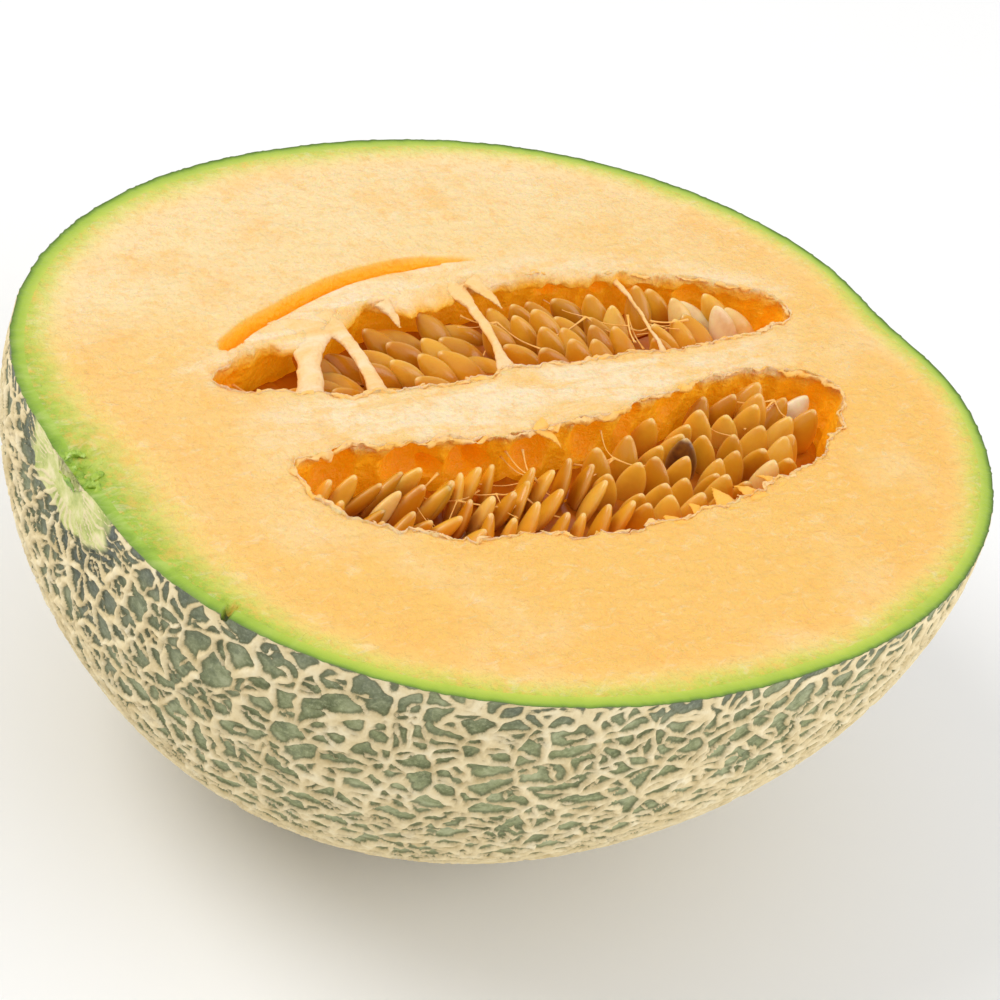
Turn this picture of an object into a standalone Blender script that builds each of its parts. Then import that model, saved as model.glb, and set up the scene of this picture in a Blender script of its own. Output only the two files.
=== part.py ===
"""Half of a netted cantaloupe melon, cut lengthwise through the stem end and resting on its rind.

Run with: blender --background --python part.py
Lengths are in metres. +Z is up, +X runs from the stem end to the blossom end, and the origin is the
middle of the small flat spot that the half rests on.
"""

import math
import random

import bmesh
import bpy
from mathutils import Matrix, Vector
from mathutils.geometry import interpolate_bezier

MM = 0.001

# Overall form: an egg-like body whose middle lies a little below the cut.
HALF_LENGTH = 83.0 * MM
HALF_WIDTH = 70.5 * MM
HALF_DEPTH = 72.9 * MM
PLAN_POWER = 2.15  # 2 is a plain ellipse seen from above, more is fuller at the corners
CENTRE_DROP = 3.4 * MM  # the body's middle, below the cut face
REST_SPOT_CUT = 1.5 * MM  # height of the cap that the flat resting spot takes off
CUT_HEIGHT = CENTRE_DROP + HALF_DEPTH - REST_SPOT_CUT
CENTRE_HEIGHT = CUT_HEIGHT - CENTRE_DROP

# Blunt ends: how far each end is pressed in, over what angle, and where it is centred.
STEM_DIMPLE = {"towards": (-1.0, 0.0, -0.02), "depth": 2.6 * MM, "spread": 0.24}
BLOSSOM_DIMPLE = {"towards": (1.0, 0.0, 0.10), "depth": 3.0 * MM, "spread": 0.20}

# Rind: a shell whose outside carries the raised net.
RIND_THICKNESS = 2.5 * MM
JOIN_GAP = 0.35 * MM  # clearance between pieces that touch in the real fruit
NET_CELLS = 900  # over a whole melon, so about half of them are on this half
NET_JITTER = 0.42  # of the distance between neighbouring cells
NET_RIDGE_HALF_WIDTH = 1.25 * MM
NET_HEIGHT = 0.8 * MM
NET_SEED = 11
NET_TOP_HEIGHT = 12.0 * MM  # above the body's middle, past the cut, up to which cells are sunk
NET_MERGE = 0.3 * MM  # corners of the net closer than this become one
BARE_SPOT_ANGLE = 0.26  # the net is worn smooth this far round the lowest point
SCAR_ANGLE = 0.15  # and the corky scar where the stem came off is bare this far round
FLAT_FACE_CORNERS = 40  # a flat face with more corners than this is split into triangles
INNER_SUBDIVISIONS = 4  # of the icosphere behind the smooth inner surfaces

# Seed chambers: outlines in the cut face, in millimetres, anticlockwise from the stem end's near corner.
FAR_CHAMBER = [
    (-48.5, 11.0), (-34.0, 6.5), (-18.0, 4.5), (0.0, 5.5), (16.0, 4.0), (34.0, 2.8), (50.0, 3.5),
    (61.0, 5.0), (61.5, 12.0), (52.0, 19.0), (37.0, 24.0), (21.0, 27.5), (6.0, 29.5), (-8.0, 29.0),
    (-20.0, 26.0), (-31.0, 22.2), (-41.0, 19.3), (-47.5, 16.5),
]
NEAR_CHAMBER = [
    (-48.8, -13.5), (-43.8, -21.0), (-34.0, -27.5), (-20.0, -31.3), (-6.0, -34.3), (10.0, -34.8),
    (26.0, -32.5), (40.0, -29.0), (51.0, -21.5), (57.0, -13.5), (53.0, -8.2), (41.0, -5.5), (27.0, -7.0),
    (12.0, -9.0), (-4.0, -9.2), (-20.0, -8.0), (-36.0, -5.5), (-46.0, -7.2),
]
STEPS_PER_SPAN = 2  # points on each stretch of an outline
SPINE_END_SHARE = 0.35  # an outline's long middle line stops this share of its half length from each end
RAGGED_EDGE = 0.45 * MM  # how far an outline wanders, as torn pulp does
CHAMBER_DEPTH = 25.0 * MM
# Rings of a chamber's wall: (share of the depth, share of the outline's size)
CHAMBER_RINGS = [(0.0, 1.0), (0.28, 1.0), (0.55, 0.95), (0.8, 0.78), (1.0, 0.45)]
RING_SPACING_SHARE = 0.02  # rings of a pulp bed are at least this share of the depth apart
CUTTER_RISE = 3.0 * MM  # how far a cutter stands above the face that it cuts

# The slit between the flesh and the pulp that has come away from it, in the far chamber's outer wall.
SLIT_PATH = [
    (-45.0, 20.8), (-37.0, 25.6), (-30.0, 28.4), (-22.5, 31.2), (-14.5, 33.7), (-5.0, 35.0), (5.0, 34.8),
    (16.0, 33.2),
]
SLIT_HALF_WIDTH = 0.8 * MM
SLIT_DEPTH = 8.0 * MM
SLIT_END_SHARE = 0.45  # of its width, at both ends

# Pulp strands across the far chamber, root to root: (x, y) in the cut face at each end, sag and radius.
STRANDS = [
    {"ends": ((-26.5, 25.2), (-37.0, 4.5)), "sag": 1.0, "radius": 1.7},
    {"ends": ((-22.0, 26.8), (-24.5, 2.6)), "sag": 1.5, "radius": 1.1},
    {"ends": ((5.0, 31.5), (0.5, 3.0)), "sag": 1.8, "radius": 1.1},
    {"ends": ((36.5, 26.0), (32.0, 0.5)), "sag": 1.5, "radius": 0.9},
]
STRAND_TOP_DEPTH = 1.3  # of a strand's centre line below the cut face at its ends, in millimetres
STRAND_FLARE = 0.4  # how much thicker a strand is at its roots
STRAND_ROOT_DROP = 0.6  # share of a strand's radius by which its centre line lies lower
STRAND_SIDES = 6
STRAND_STEPS = 7

# Seeds: one size, flattened ovals, narrow at both ends.
SEED_LENGTH = 10.5 * MM
SEED_WIDTH = 5.0 * MM
SEED_THICKNESS = 2.4 * MM
SEED_SIDES = 6
# Rings along a seed from its root: (share of its length, share of its width)
SEED_RINGS = [(0.14, 0.66), (0.5, 1.0), (0.86, 0.66)]
FAR_BED_DEPTH = 7.8 * MM  # of the pulp that the seeds stand in, below the cut face
NEAR_BED_DEPTH = 8.8 * MM
PULP_BED_MOUND = 1.2 * MM
SEED_WALL_CLEARANCE = 0.4 * MM
SEED_TOP_CLEARANCE = 1.0 * MM  # seeds stay this far below the cut face
STRAND_CLEARANCE = 0.3 * MM

# Bundles of seeds in each chamber, from the stem end to the blossom end. "middle" is the bundle's place
# in the cut face in millimetres, "grid" counts its seeds along and across the chamber, "pitch" is their
# spacing, "tips" the way that the free ends point, "face" the way that the flat sides look, and "sunk"
# is how deep the roots go into the pulp.
BACKWARD = {"tips": (-0.42, 0.5, 0.55), "face": (-0.574, -0.563, 0.595), "sunk": 2.4}
FLATTER = {"tips": (-0.6, 0.42, 0.36), "face": (-0.574, -0.563, 0.595), "sunk": 2.3}
RISING = {"tips": (-0.22, 0.42, 0.75), "face": (-0.574, -0.563, 0.595), "sunk": 3.2}
FANNED = {"tips": (0.45, -0.15, 0.85), "face": (0.3, -0.92, 0.2), "sunk": 3.0}
ON_EDGE = {"tips": (0.12, 0.0, 1.0), "face": (0.78, -0.62, 0.05), "sunk": 3.2}
UPRIGHT = {"tips": (0.02, 0.08, 1.0), "face": (-0.62, -0.7, 0.3), "sunk": 3.6}
OUTWARD = {"tips": (0.32, 0.05, 0.9), "face": (-0.5, -0.75, 0.4), "sunk": 3.2}
FAR_BUNDLES = [
    {"middle": (-42.0, 14.5), "grid": (3, 2), "pitch": (4.4, 4.6), **BACKWARD},
    {"middle": (-27.5, 14.5), "grid": (3, 3), "pitch": (3.6, 4.6), **FLATTER},
    {"middle": (-7.5, 15.5), "grid": (5, 4), "pitch": (5.6, 4.6), **FLATTER},
    {"middle": (17.5, 14.5), "grid": (4, 4), "pitch": (4.8, 4.6), **BACKWARD},
    {"middle": (36.0, 12.5), "grid": (4, 4), "pitch": (4.6, 4.2), **RISING},
    {"middle": (53.5, 10.5), "grid": (4, 3), "pitch": (4.6, 4.0), **BACKWARD},
]
NEAR_BUNDLES = [
    {"middle": (-43.0, -11.8), "grid": (2, 2), "pitch": (3.4, 4.6), **ON_EDGE},
    {"middle": (-33.5, -15.2), "grid": (4, 3), "pitch": (3.9, 4.6), **FANNED},
    {"middle": (-19.5, -19.8), "grid": (4, 3), "pitch": (3.6, 5.0), **ON_EDGE},
    {"middle": (-4.0, -22.6), "grid": (4, 3), "pitch": (4.2, 5.0), **ON_EDGE},
    {"middle": (12.5, -20.4), "grid": (4, 5), "pitch": (5.0, 4.8), **UPRIGHT},
    {"middle": (30.5, -17.9), "grid": (4, 5), "pitch": (5.0, 4.6), **UPRIGHT},
    {"middle": (46.5, -15.0), "grid": (3, 4), "pitch": (5.0, 4.6), **OUTWARD},
]
BUNDLE_JITTER = 0.6 * MM
BUNDLE_FAN = 0.24  # radians that a seed's lean wanders
FAR_SEED = 5
NEAR_SEED = 8

SHARP_ANGLE = 40.0  # degrees: edges sharper than this stay crisp


def clear_scene():
    for old in list(bpy.data.objects):
        bpy.data.objects.remove(old, do_unlink=True)


def finish(name, colour, roughness):
    """A plain material for one sub-part."""
    material = bpy.data.materials.new(name)
    material.use_nodes = True
    shader = material.node_tree.nodes["Principled BSDF"]
    shader.inputs["Base Color"].default_value = (*colour, 1.0)
    shader.inputs["Roughness"].default_value = roughness
    shader.inputs["Metallic"].default_value = 0.0
    return material


def object_from(bm, name, material=None):
    bmesh.ops.recalc_face_normals(bm, faces=bm.faces[:])
    mesh = bpy.data.meshes.new(name)
    bm.to_mesh(mesh)
    bm.free()
    made = bpy.data.objects.new(name, mesh)
    bpy.context.scene.collection.objects.link(made)
    if material:
        mesh.materials.append(material)
    return made


def apply_boolean(target, operation, helpers):
    """Cuts the helpers from the target, or joins them to it, and removes them."""
    group = bpy.data.collections.new(f"{target.name}_helpers")
    for helper in helpers:
        group.objects.link(helper)
    modifier = target.modifiers.new("Join", "BOOLEAN")
    modifier.operation = operation
    modifier.operand_type = "COLLECTION"
    modifier.collection = group
    modifier.solver = "EXACT"
    bpy.context.view_layer.update()
    graph = bpy.context.evaluated_depsgraph_get()
    result = bpy.data.meshes.new_from_object(target.evaluated_get(graph))
    target.modifiers.clear()
    target.data = result
    for helper in helpers:
        bpy.data.objects.remove(helper, do_unlink=True)
    bpy.data.collections.remove(group)


def dimple(direction, end):
    """How far one end of the melon is pressed in, seen along this direction."""
    angle = direction.angle(Vector(end["towards"]))
    return end["depth"] * math.exp(-((angle / end["spread"]) ** 2))


def melon_point(direction, inset):
    """The body's surface in this direction from its middle, moved in by inset."""
    flat = math.hypot(direction.x, direction.y)
    fuller = 1.0
    if flat > 1e-6:
        across = abs(direction.x / flat) ** PLAN_POWER + abs(direction.y / flat) ** PLAN_POWER
        fuller = across ** (-1.0 / PLAN_POWER)
    pressed = inset + dimple(direction, STEM_DIMPLE) + dimple(direction, BLOSSOM_DIMPLE)
    return Vector((
        (HALF_LENGTH - pressed) * direction.x * fuller,
        (HALF_WIDTH - pressed) * direction.y * fuller,
        (HALF_DEPTH - pressed) * direction.z + CENTRE_HEIGHT,
    ))


def cut_flat(bm, height, keep_below):
    """Cuts the closed mesh level at a height and closes the cut with one flat face."""
    normal = Vector((0, 0, 1 if keep_below else -1))
    geometry = bm.verts[:] + bm.edges[:] + bm.faces[:]
    cut = bmesh.ops.bisect_plane(
        bm, geom=geometry, plane_co=(0, 0, height), plane_no=normal, clear_outer=True, dist=1e-7
    )
    edges = [part for part in cut["geom_cut"] if isinstance(part, bmesh.types.BMEdge)]
    bmesh.ops.contextual_create(bm, geom=edges)


def smooth_body(inset):
    """The melon's body as a smooth closed mesh, inset from the skin."""
    bm = bmesh.new()
    bmesh.ops.create_icosphere(bm, subdivisions=INNER_SUBDIVISIONS, radius=1.0)
    for vert in bm.verts:
        vert.co = melon_point(vert.co.normalized(), inset)
    return bm


def scattered_directions():
    """Evenly spread, slightly disturbed directions: the middles of the net's cells."""
    draw = random.Random(NET_SEED)
    golden_turn = math.pi * (3.0 - math.sqrt(5.0))
    spacing = math.sqrt(4.0 * math.pi / NET_CELLS)
    found = []
    for i in range(NET_CELLS):
        z = 1.0 - 2.0 * (i + 0.5) / NET_CELLS
        radius = math.sqrt(1.0 - z * z)
        point = Vector((z, radius * math.cos(golden_turn * i), radius * math.sin(golden_turn * i)))
        shift = Vector([draw.uniform(-1.0, 1.0) for _ in range(3)])
        found.append((point + shift * spacing * NET_JITTER).normalized())
    return found


def netted_body():
    """The body's outside as polygons, each sunk between the ridges of the net round it."""
    hull = bmesh.new()
    for direction in scattered_directions():
        hull.verts.new(direction)
    bmesh.ops.convex_hull(hull, input=hull.verts[:])
    bmesh.ops.triangulate(hull, faces=hull.faces[:])

    bm = bmesh.new()
    corner_of = {}
    for face in hull.faces:
        direction = face.normal if face.normal.dot(face.calc_center_median()) > 0 else -face.normal
        corner_of[face.index] = bm.verts.new(melon_point(direction.normalized(), 0.0))
    for vert in hull.verts:
        side = vert.co.orthogonal().normalized()
        other = vert.co.cross(side)

        def turn(face):
            away = face.calc_center_median() - vert.co
            return math.atan2(away.dot(other), away.dot(side))

        ring = [corner_of[face.index] for face in sorted(vert.link_faces, key=turn)]
        if len(ring) > 2:
            bm.faces.new(ring)
    hull.free()
    bmesh.ops.remove_doubles(bm, verts=bm.verts[:], dist=NET_MERGE)
    bmesh.ops.dissolve_degenerate(bm, edges=bm.edges[:], dist=NET_MERGE)
    bmesh.ops.recalc_face_normals(bm, faces=bm.faces[:])
    return bm


def sink_cells(bm):
    """Lowers the middle of each cell, which leaves the net standing as ridges."""
    lowest = Vector((0, 0, -1))
    stem = Vector(STEM_DIMPLE["towards"])
    middle = Vector((0, 0, CENTRE_HEIGHT))
    cells = []
    for face in bm.faces:
        away = face.calc_center_median() - middle
        bare = away.angle(lowest) < BARE_SPOT_ANGLE or away.angle(stem) < SCAR_ANGLE
        if away.z < NET_TOP_HEIGHT and not bare:
            cells.append(face)
    bmesh.ops.inset_individual(
        bm, faces=cells, thickness=NET_RIDGE_HALF_WIDTH, depth=-NET_HEIGHT, use_even_offset=True
    )


def make_rind(material):
    bm = netted_body()
    sink_cells(bm)
    cut_flat(bm, CUT_HEIGHT, keep_below=True)
    cut_flat(bm, 0.0, keep_below=False)
    bmesh.ops.triangulate(bm, faces=[face for face in bm.faces if len(face.verts) > FLAT_FACE_CORNERS])
    rind = object_from(bm, "rind", material)
    inside = object_from(smooth_body(RIND_THICKNESS), "rind_inside")
    apply_boolean(rind, "DIFFERENCE", [inside])
    return rind


def smooth_outline(corners, seed):
    """Points on a smooth closed curve through the corners, each moved a little, in metres."""
    draw = random.Random(seed)
    points = [Vector((x * MM, y * MM, 0.0)) for x, y in corners]
    found = []
    for i, start in enumerate(points):
        before, end, after = points[i - 1], points[(i + 1) % len(points)], points[(i + 2) % len(points)]
        handle_out = start + (end - before) / 6.0
        handle_in = end - (after - start) / 6.0
        found += interpolate_bezier(start, handle_out, handle_in, end, STEPS_PER_SPAN + 1)[:-1]
    return [
        point + Vector((draw.uniform(-1, 1), draw.uniform(-1, 1), 0.0)) * RAGGED_EDGE for point in found
    ]


def shrunk(outline, share, inset):
    """The outline scaled about its long middle line, then moved in by inset."""
    left = min(point.x for point in outline)
    right = max(point.x for point in outline)
    middle_y = sum(point.y for point in outline) / len(outline)
    end = (right - left) / 2.0 * SPINE_END_SHARE
    moved = []
    for point in outline:
        spine_x = max(left + end, min(right - end, point.x))
        spine = Vector((spine_x, middle_y, 0.0))
        away = point - spine
        moved.append(spine + away * share - away.normalized() * inset)
    return moved


def lofted(rings):
    """A closed mesh through rings of equally many points, with a flat cap at each end."""
    bm = bmesh.new()
    rows = [[bm.verts.new(point) for point in ring] for ring in rings]
    count = len(rows[0])
    for upper, lower in zip(rows, rows[1:]):
        for i in range(count):
            j = (i + 1) % count
            bm.faces.new((upper[i], upper[j], lower[j], lower[i]))
    bm.faces.new(rows[0])
    bm.faces.new(list(reversed(rows[-1])))
    return bm


def chamber_cutter(name, outline):
    rings = [[point + Vector((0, 0, CUT_HEIGHT + CUTTER_RISE)) for point in outline]]
    for depth_share, size_share in CHAMBER_RINGS[1:]:
        drop = Vector((0, 0, CUT_HEIGHT - CHAMBER_DEPTH * depth_share))
        rings.append([point + drop for point in shrunk(outline, size_share, 0.0)])
    return object_from(lofted(rings), name)


def slit_cutter():
    """A thin curved blade, narrow at both ends, that parts the pulp from the flesh."""
    points = [Vector((x * MM, y * MM, 0.0)) for x, y in SLIT_PATH]
    left, right = [], []
    for i, point in enumerate(points):
        along = points[min(i + 1, len(points) - 1)] - points[max(i - 1, 0)]
        side = Vector((-along.y, along.x, 0.0)).normalized()
        taper = SLIT_END_SHARE if i in (0, len(points) - 1) else 1.0
        left.append(point + side * SLIT_HALF_WIDTH * taper)
        right.append(point - side * SLIT_HALF_WIDTH * taper)
    outline = right + left[::-1]
    rings = [
        [point + Vector((0, 0, height)) for point in outline]
        for height in (CUT_HEIGHT + CUTTER_RISE, CUT_HEIGHT - SLIT_DEPTH)
    ]
    return object_from(lofted(rings), "slit_cutter")


def strand_path(strand):
    """The centre line of a strand, sagging between its two roots."""
    (x0, y0), (x1, y1) = strand["ends"]
    path = []
    for step in range(STRAND_STEPS + 1):
        share = step / STRAND_STEPS
        sag = strand["sag"] * math.sin(math.pi * share) * share
        drop = (STRAND_TOP_DEPTH + strand["radius"] * STRAND_ROOT_DROP + sag) * MM
        across = Vector((x0 + (x1 - x0) * share, y0 + (y1 - y0) * share, 0.0)) * MM
        path.append(across + Vector((0, 0, CUT_HEIGHT - drop)))
    return path


def strand_solid(index, strand):
    path = strand_path(strand)
    rings = []
    for i, point in enumerate(path):
        along = (path[min(i + 1, len(path) - 1)] - path[max(i - 1, 0)]).normalized()
        side = along.cross(Vector((0, 0, 1))).normalized()
        up = side.cross(along)
        share = i / (len(path) - 1)
        radius = strand["radius"] * MM * (1.0 + STRAND_FLARE * abs(2.0 * share - 1.0) ** 3)
        rings.append([
            point + (side * math.cos(turn) + up * math.sin(turn)) * radius
            for turn in (2.0 * math.pi * k / STRAND_SIDES for k in range(STRAND_SIDES))
        ])
    return object_from(lofted(rings), f"strand_{index}")


def make_flesh(material, far_outline, near_outline):
    bm = smooth_body(RIND_THICKNESS + JOIN_GAP)
    cut_flat(bm, CUT_HEIGHT, keep_below=True)
    flesh = object_from(bm, "flesh", material)
    cutters = [
        chamber_cutter("far_chamber_cutter", far_outline),
        chamber_cutter("near_chamber_cutter", near_outline),
        slit_cutter(),
    ]
    apply_boolean(flesh, "DIFFERENCE", cutters)
    strands = [strand_solid(i, strand) for i, strand in enumerate(STRANDS)]
    apply_boolean(flesh, "UNION", strands)
    return flesh


def seed_rings():
    """The rings of a seed's surface, from its pointed root at the origin up along its Z."""
    rings = []
    for along, width in SEED_RINGS:
        ring = []
        for k in range(SEED_SIDES):
            turn = 2.0 * math.pi * k / SEED_SIDES
            x = math.cos(turn) * SEED_WIDTH / 2.0 * width
            y = math.sin(turn) * SEED_THICKNESS / 2.0 * math.sqrt(width)
            ring.append(Vector((x, y, SEED_LENGTH * along)))
        rings.append(ring)
    return rings


def seed_solid(name, frame):
    bm = bmesh.new()
    root = bm.verts.new(frame @ Vector((0, 0, 0)))
    tip = bm.verts.new(frame @ Vector((0, 0, SEED_LENGTH)))
    rings = [[bm.verts.new(frame @ point) for point in ring] for ring in seed_rings()]
    for k in range(SEED_SIDES):
        j = (k + 1) % SEED_SIDES
        bm.faces.new((root, rings[0][j], rings[0][k]))
        bm.faces.new((tip, rings[-1][k], rings[-1][j]))
        for lower, upper in zip(rings, rings[1:]):
            bm.faces.new((lower[k], lower[j], upper[j], upper[k]))
    return object_from(bm, name)


def inside(point, outline, margin):
    """Whether a point of the cut face lies inside the outline, and margin away from it."""
    crossings = 0
    for i, start in enumerate(outline):
        end = outline[(i + 1) % len(outline)]
        if (start.y > point.y) != (end.y > point.y):
            at = start.x + (point.y - start.y) / (end.y - start.y) * (end.x - start.x)
            crossings += at > point.x
        edge = end - start
        share = max(0.0, min(1.0, (point - start).dot(edge) / edge.length_squared))
        if (point - start - edge * share).length < margin:
            return False
    return crossings % 2 == 1


def seed_frame(root, tips, face):
    """A seed's frame: Z along it, Y out of its flat side."""
    along = tips.normalized()
    side = along.cross(face).normalized()
    out = side.cross(along)
    turn = Matrix((side, -out, along)).transposed().to_4x4()
    return Matrix.Translation(root) @ turn


def bundle_frames(bundles, bed_depth, outline, seed, strands):
    """Where each seed stands: a grid in every bundle, leaning and fanned, clear of walls and strands."""
    draw = random.Random(seed)
    frames = []
    for bundle in bundles:
        pitch_x, pitch_y = (value * MM for value in bundle["pitch"])
        columns, rows = bundle["grid"]
        lean = Vector(bundle["tips"]).normalized()
        for column in range(columns):
            for row in range(rows):
                beside = column - (columns - 1) / 2.0 + 0.5 * (row % 2) - 0.25
                across = row - (rows - 1) / 2.0
                place = Vector((bundle["middle"][0] * MM, bundle["middle"][1] * MM, 0.0))
                place += Vector((beside * pitch_x, across * pitch_y, 0.0))
                place += Vector((draw.uniform(-1, 1), draw.uniform(-1, 1), 0.0)) * BUNDLE_JITTER
                wander = Vector([draw.uniform(-BUNDLE_FAN, BUNDLE_FAN) for _ in range(3)])
                rise = draw.uniform(0.0, 1.0) * MM
                tips = (lean + wander).normalized()
                root = place - tips * SEED_LENGTH / 2.0
                root.z = CUT_HEIGHT - bed_depth - bundle["sunk"] * MM + rise
                frame = seed_frame(root, tips, Vector(bundle["face"]) + wander)
                if fits(frame, outline, strands):
                    frames.append(frame)
    return frames


def fits(frame, outline, strands):
    """Whether a seed stays inside the chamber, below the cut face and clear of every strand."""
    surface = [frame @ point for ring in seed_rings() for point in ring]
    surface += [frame @ Vector((0, 0, 0)), frame @ Vector((0, 0, SEED_LENGTH))]
    for point in surface:
        depth = CUT_HEIGHT - point.z
        if depth < SEED_TOP_CLEARANCE:
            return False
        walls = shrunk(outline, ring_size(depth / CHAMBER_DEPTH), 0.0)
        if not inside(Vector((point.x, point.y, 0.0)), walls, SEED_WALL_CLEARANCE):
            return False
        for strand in strands:
            reach = strand["radius"] * MM * (1.0 + STRAND_FLARE) + STRAND_CLEARANCE
            if min((point - on_path).length for on_path in strand_path(strand)) < reach:
                return False
    return True


def make_seeds(name, material, outline, bed_depth, bundles, seed, strands):
    """The chamber's seeds, standing in the pulp that holds them."""
    bed = [outline_at(outline, share, depth) for share, depth in bed_rings(bed_depth)]
    bm = lofted(bed)
    top = max(bm.faces, key=lambda face: face.calc_center_median().z)
    bmesh.ops.poke(bm, faces=[top], offset=PULP_BED_MOUND)
    mass = object_from(bm, name, material)
    frames = bundle_frames(bundles, bed_depth, outline, seed, strands)
    seeds = [seed_solid(f"{name}_{i}", frame) for i, frame in enumerate(frames)]
    print(name, len(frames), "seeds")
    apply_boolean(mass, "UNION", seeds)
    return mass


def bed_rings(bed_depth):
    """(share of the outline's size, depth) for each ring of the pulp bed, from its top down."""
    top = bed_depth / CHAMBER_DEPTH
    rings = [(ring_size(top), bed_depth)]
    for depth_share, size_share in CHAMBER_RINGS:
        if depth_share > top + RING_SPACING_SHARE:
            rings.append((size_share, CHAMBER_DEPTH * depth_share))
    last_size, last_depth = rings[-1]
    rings[-1] = (last_size, last_depth - 2.0 * JOIN_GAP)
    return rings


def ring_size(depth_share):
    """The chamber's size at a share of its depth, between its rings."""
    for (upper, size_upper), (lower, size_lower) in zip(CHAMBER_RINGS, CHAMBER_RINGS[1:]):
        if depth_share <= lower:
            share = (depth_share - upper) / (lower - upper)
            return size_upper + (size_lower - size_upper) * share
    return CHAMBER_RINGS[-1][1]


def outline_at(outline, share, depth):
    drop = Vector((0, 0, CUT_HEIGHT - depth))
    return [point + drop for point in shrunk(outline, share, 2.0 * JOIN_GAP)]


def centre_over_origin(pieces):
    """Moves all the pieces level, so that the origin is under the middle of the whole."""
    points = [vert.co for made in pieces for vert in made.data.vertices]
    middle_x = (min(point.x for point in points) + max(point.x for point in points)) / 2.0
    middle_y = (min(point.y for point in points) + max(point.y for point in points)) / 2.0
    for made in pieces:
        made.data.transform(Matrix.Translation((-middle_x, -middle_y, 0.0)))
    print("moved by", round(-middle_x / MM, 3), round(-middle_y / MM, 3), "mm")


def shade(made):
    made.data.shade_smooth()
    made.data.set_sharp_from_angle(angle=math.radians(SHARP_ANGLE))


def main():
    clear_scene()
    far_outline = smooth_outline(FAR_CHAMBER, FAR_SEED)
    near_outline = smooth_outline(NEAR_CHAMBER, NEAR_SEED)
    rind = make_rind(finish("netted_rind", (0.56, 0.56, 0.38), 0.75))
    flesh = make_flesh(finish("orange_flesh", (0.95, 0.55, 0.20), 0.35), far_outline, near_outline)
    seed_colour = finish("seed", (0.78, 0.47, 0.14), 0.3)
    far = make_seeds(
        "seeds_far", seed_colour, far_outline, FAR_BED_DEPTH, FAR_BUNDLES, FAR_SEED, STRANDS
    )
    near = make_seeds(
        "seeds_near", seed_colour, near_outline, NEAR_BED_DEPTH, NEAR_BUNDLES, NEAR_SEED, []
    )
    pieces = [rind, flesh, far, near]
    centre_over_origin(pieces)
    for made in pieces:
        shade(made)


main()
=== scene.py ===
import math
import random
import time

import bpy
import numpy as np
from mathutils import Matrix, Vector
from mathutils.geometry import delaunay_2d_cdt, interpolate_bezier
from mathutils.kdtree import KDTree


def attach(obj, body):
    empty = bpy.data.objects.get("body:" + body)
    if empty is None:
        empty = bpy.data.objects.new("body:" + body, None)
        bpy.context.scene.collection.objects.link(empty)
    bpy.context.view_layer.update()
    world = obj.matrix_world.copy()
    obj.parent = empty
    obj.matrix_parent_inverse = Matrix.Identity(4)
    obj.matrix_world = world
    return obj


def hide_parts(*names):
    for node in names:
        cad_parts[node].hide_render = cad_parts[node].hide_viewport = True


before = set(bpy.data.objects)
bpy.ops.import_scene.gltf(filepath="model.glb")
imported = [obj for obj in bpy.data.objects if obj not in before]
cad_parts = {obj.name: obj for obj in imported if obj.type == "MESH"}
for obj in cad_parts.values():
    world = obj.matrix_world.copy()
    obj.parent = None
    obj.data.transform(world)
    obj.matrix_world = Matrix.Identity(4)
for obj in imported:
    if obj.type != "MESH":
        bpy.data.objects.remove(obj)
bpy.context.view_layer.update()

millimetre = 0.001
lowest = -math.pi / 2 * 0.9995  # elevation of the lowest ring of points, just short of the pole
innerRows = 20                  # of points down the hidden inner sides

started = time.time()


def report(stage):
    print(f"{time.time() - started:6.1f} s  {stage}")


# the melon's form, in millimetres: the same rule as the solid model's
melon = {
    "halfLength": 83.0,
    "halfWidth": 70.5,
    "halfDepth": 72.9,
    "planPower": 2.15,        # fuller than an ellipse seen from above
    "centreDrop": 3.4,        # the body's middle, below the cut face
    "restCut": 1.5,           # height of the cap lost to the flat resting spot
    "stemEnd": ((-1.0, 0.0, -0.02), 2.6, 0.24),      # towards, how deep, how wide
    "blossomEnd": ((1.0, 0.0, 0.10), 3.0, 0.20),
    "middle": (-0.429, -0.028),  # where the body's middle stands over the origin
}
cutHeight = melon["centreDrop"] + melon["halfDepth"] - melon["restCut"]
centreHeight = cutHeight - melon["centreDrop"]
middle = np.array((melon["middle"][0], melon["middle"][1], 0.0))


def unit(vectors):
    return vectors / np.maximum(np.linalg.norm(vectors, axis=-1, keepdims=True), 1e-9)


def dimple(directions, end):
    towards, depth, spread = end
    angle = np.arccos(np.clip(directions @ unit(np.array(towards)), -1, 1))
    return depth * np.exp(-((angle / spread) ** 2))


def melonPoint(directions, inset):
    # the body's surface along directions from its middle, moved in by inset
    x, y, z = directions[..., 0], directions[..., 1], directions[..., 2]
    flat = np.maximum(np.hypot(x, y), 1e-6)
    power = melon["planPower"]
    fuller = ((abs(x) / flat) ** power + (abs(y) / flat) ** power) ** (-1.0 / power)
    pressed = inset + dimple(directions, melon["stemEnd"]) + dimple(directions, melon["blossomEnd"])
    found = np.empty(directions.shape)
    found[..., 0] = (melon["halfLength"] - pressed) * x * fuller + middle[0]
    found[..., 1] = (melon["halfWidth"] - pressed) * y * fuller + middle[1]
    found[..., 2] = (melon["halfDepth"] - pressed) * z + centreHeight
    return found


# number and mesh helpers
def hashed(a, b, c=0):
    # a steady random value from 0 to 1 for whole numbers
    a, b, c = (np.asarray(value, np.int64) for value in (a, b, c))
    h = (a * 73856093) ^ (b * 19349663) ^ (c * 83492791)
    h = (h ^ (h >> 13)) & 0xFFFFFFFF
    h = (h * 1274126177) & 0xFFFFFFFF
    h = (h ^ (h >> 16)) & 0xFFFFFFFF
    h = (h * 2246822519) & 0xFFFFFFFF
    return ((h ^ (h >> 15)) & 0xFFFFFF) / float(0xFFFFFF)


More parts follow.
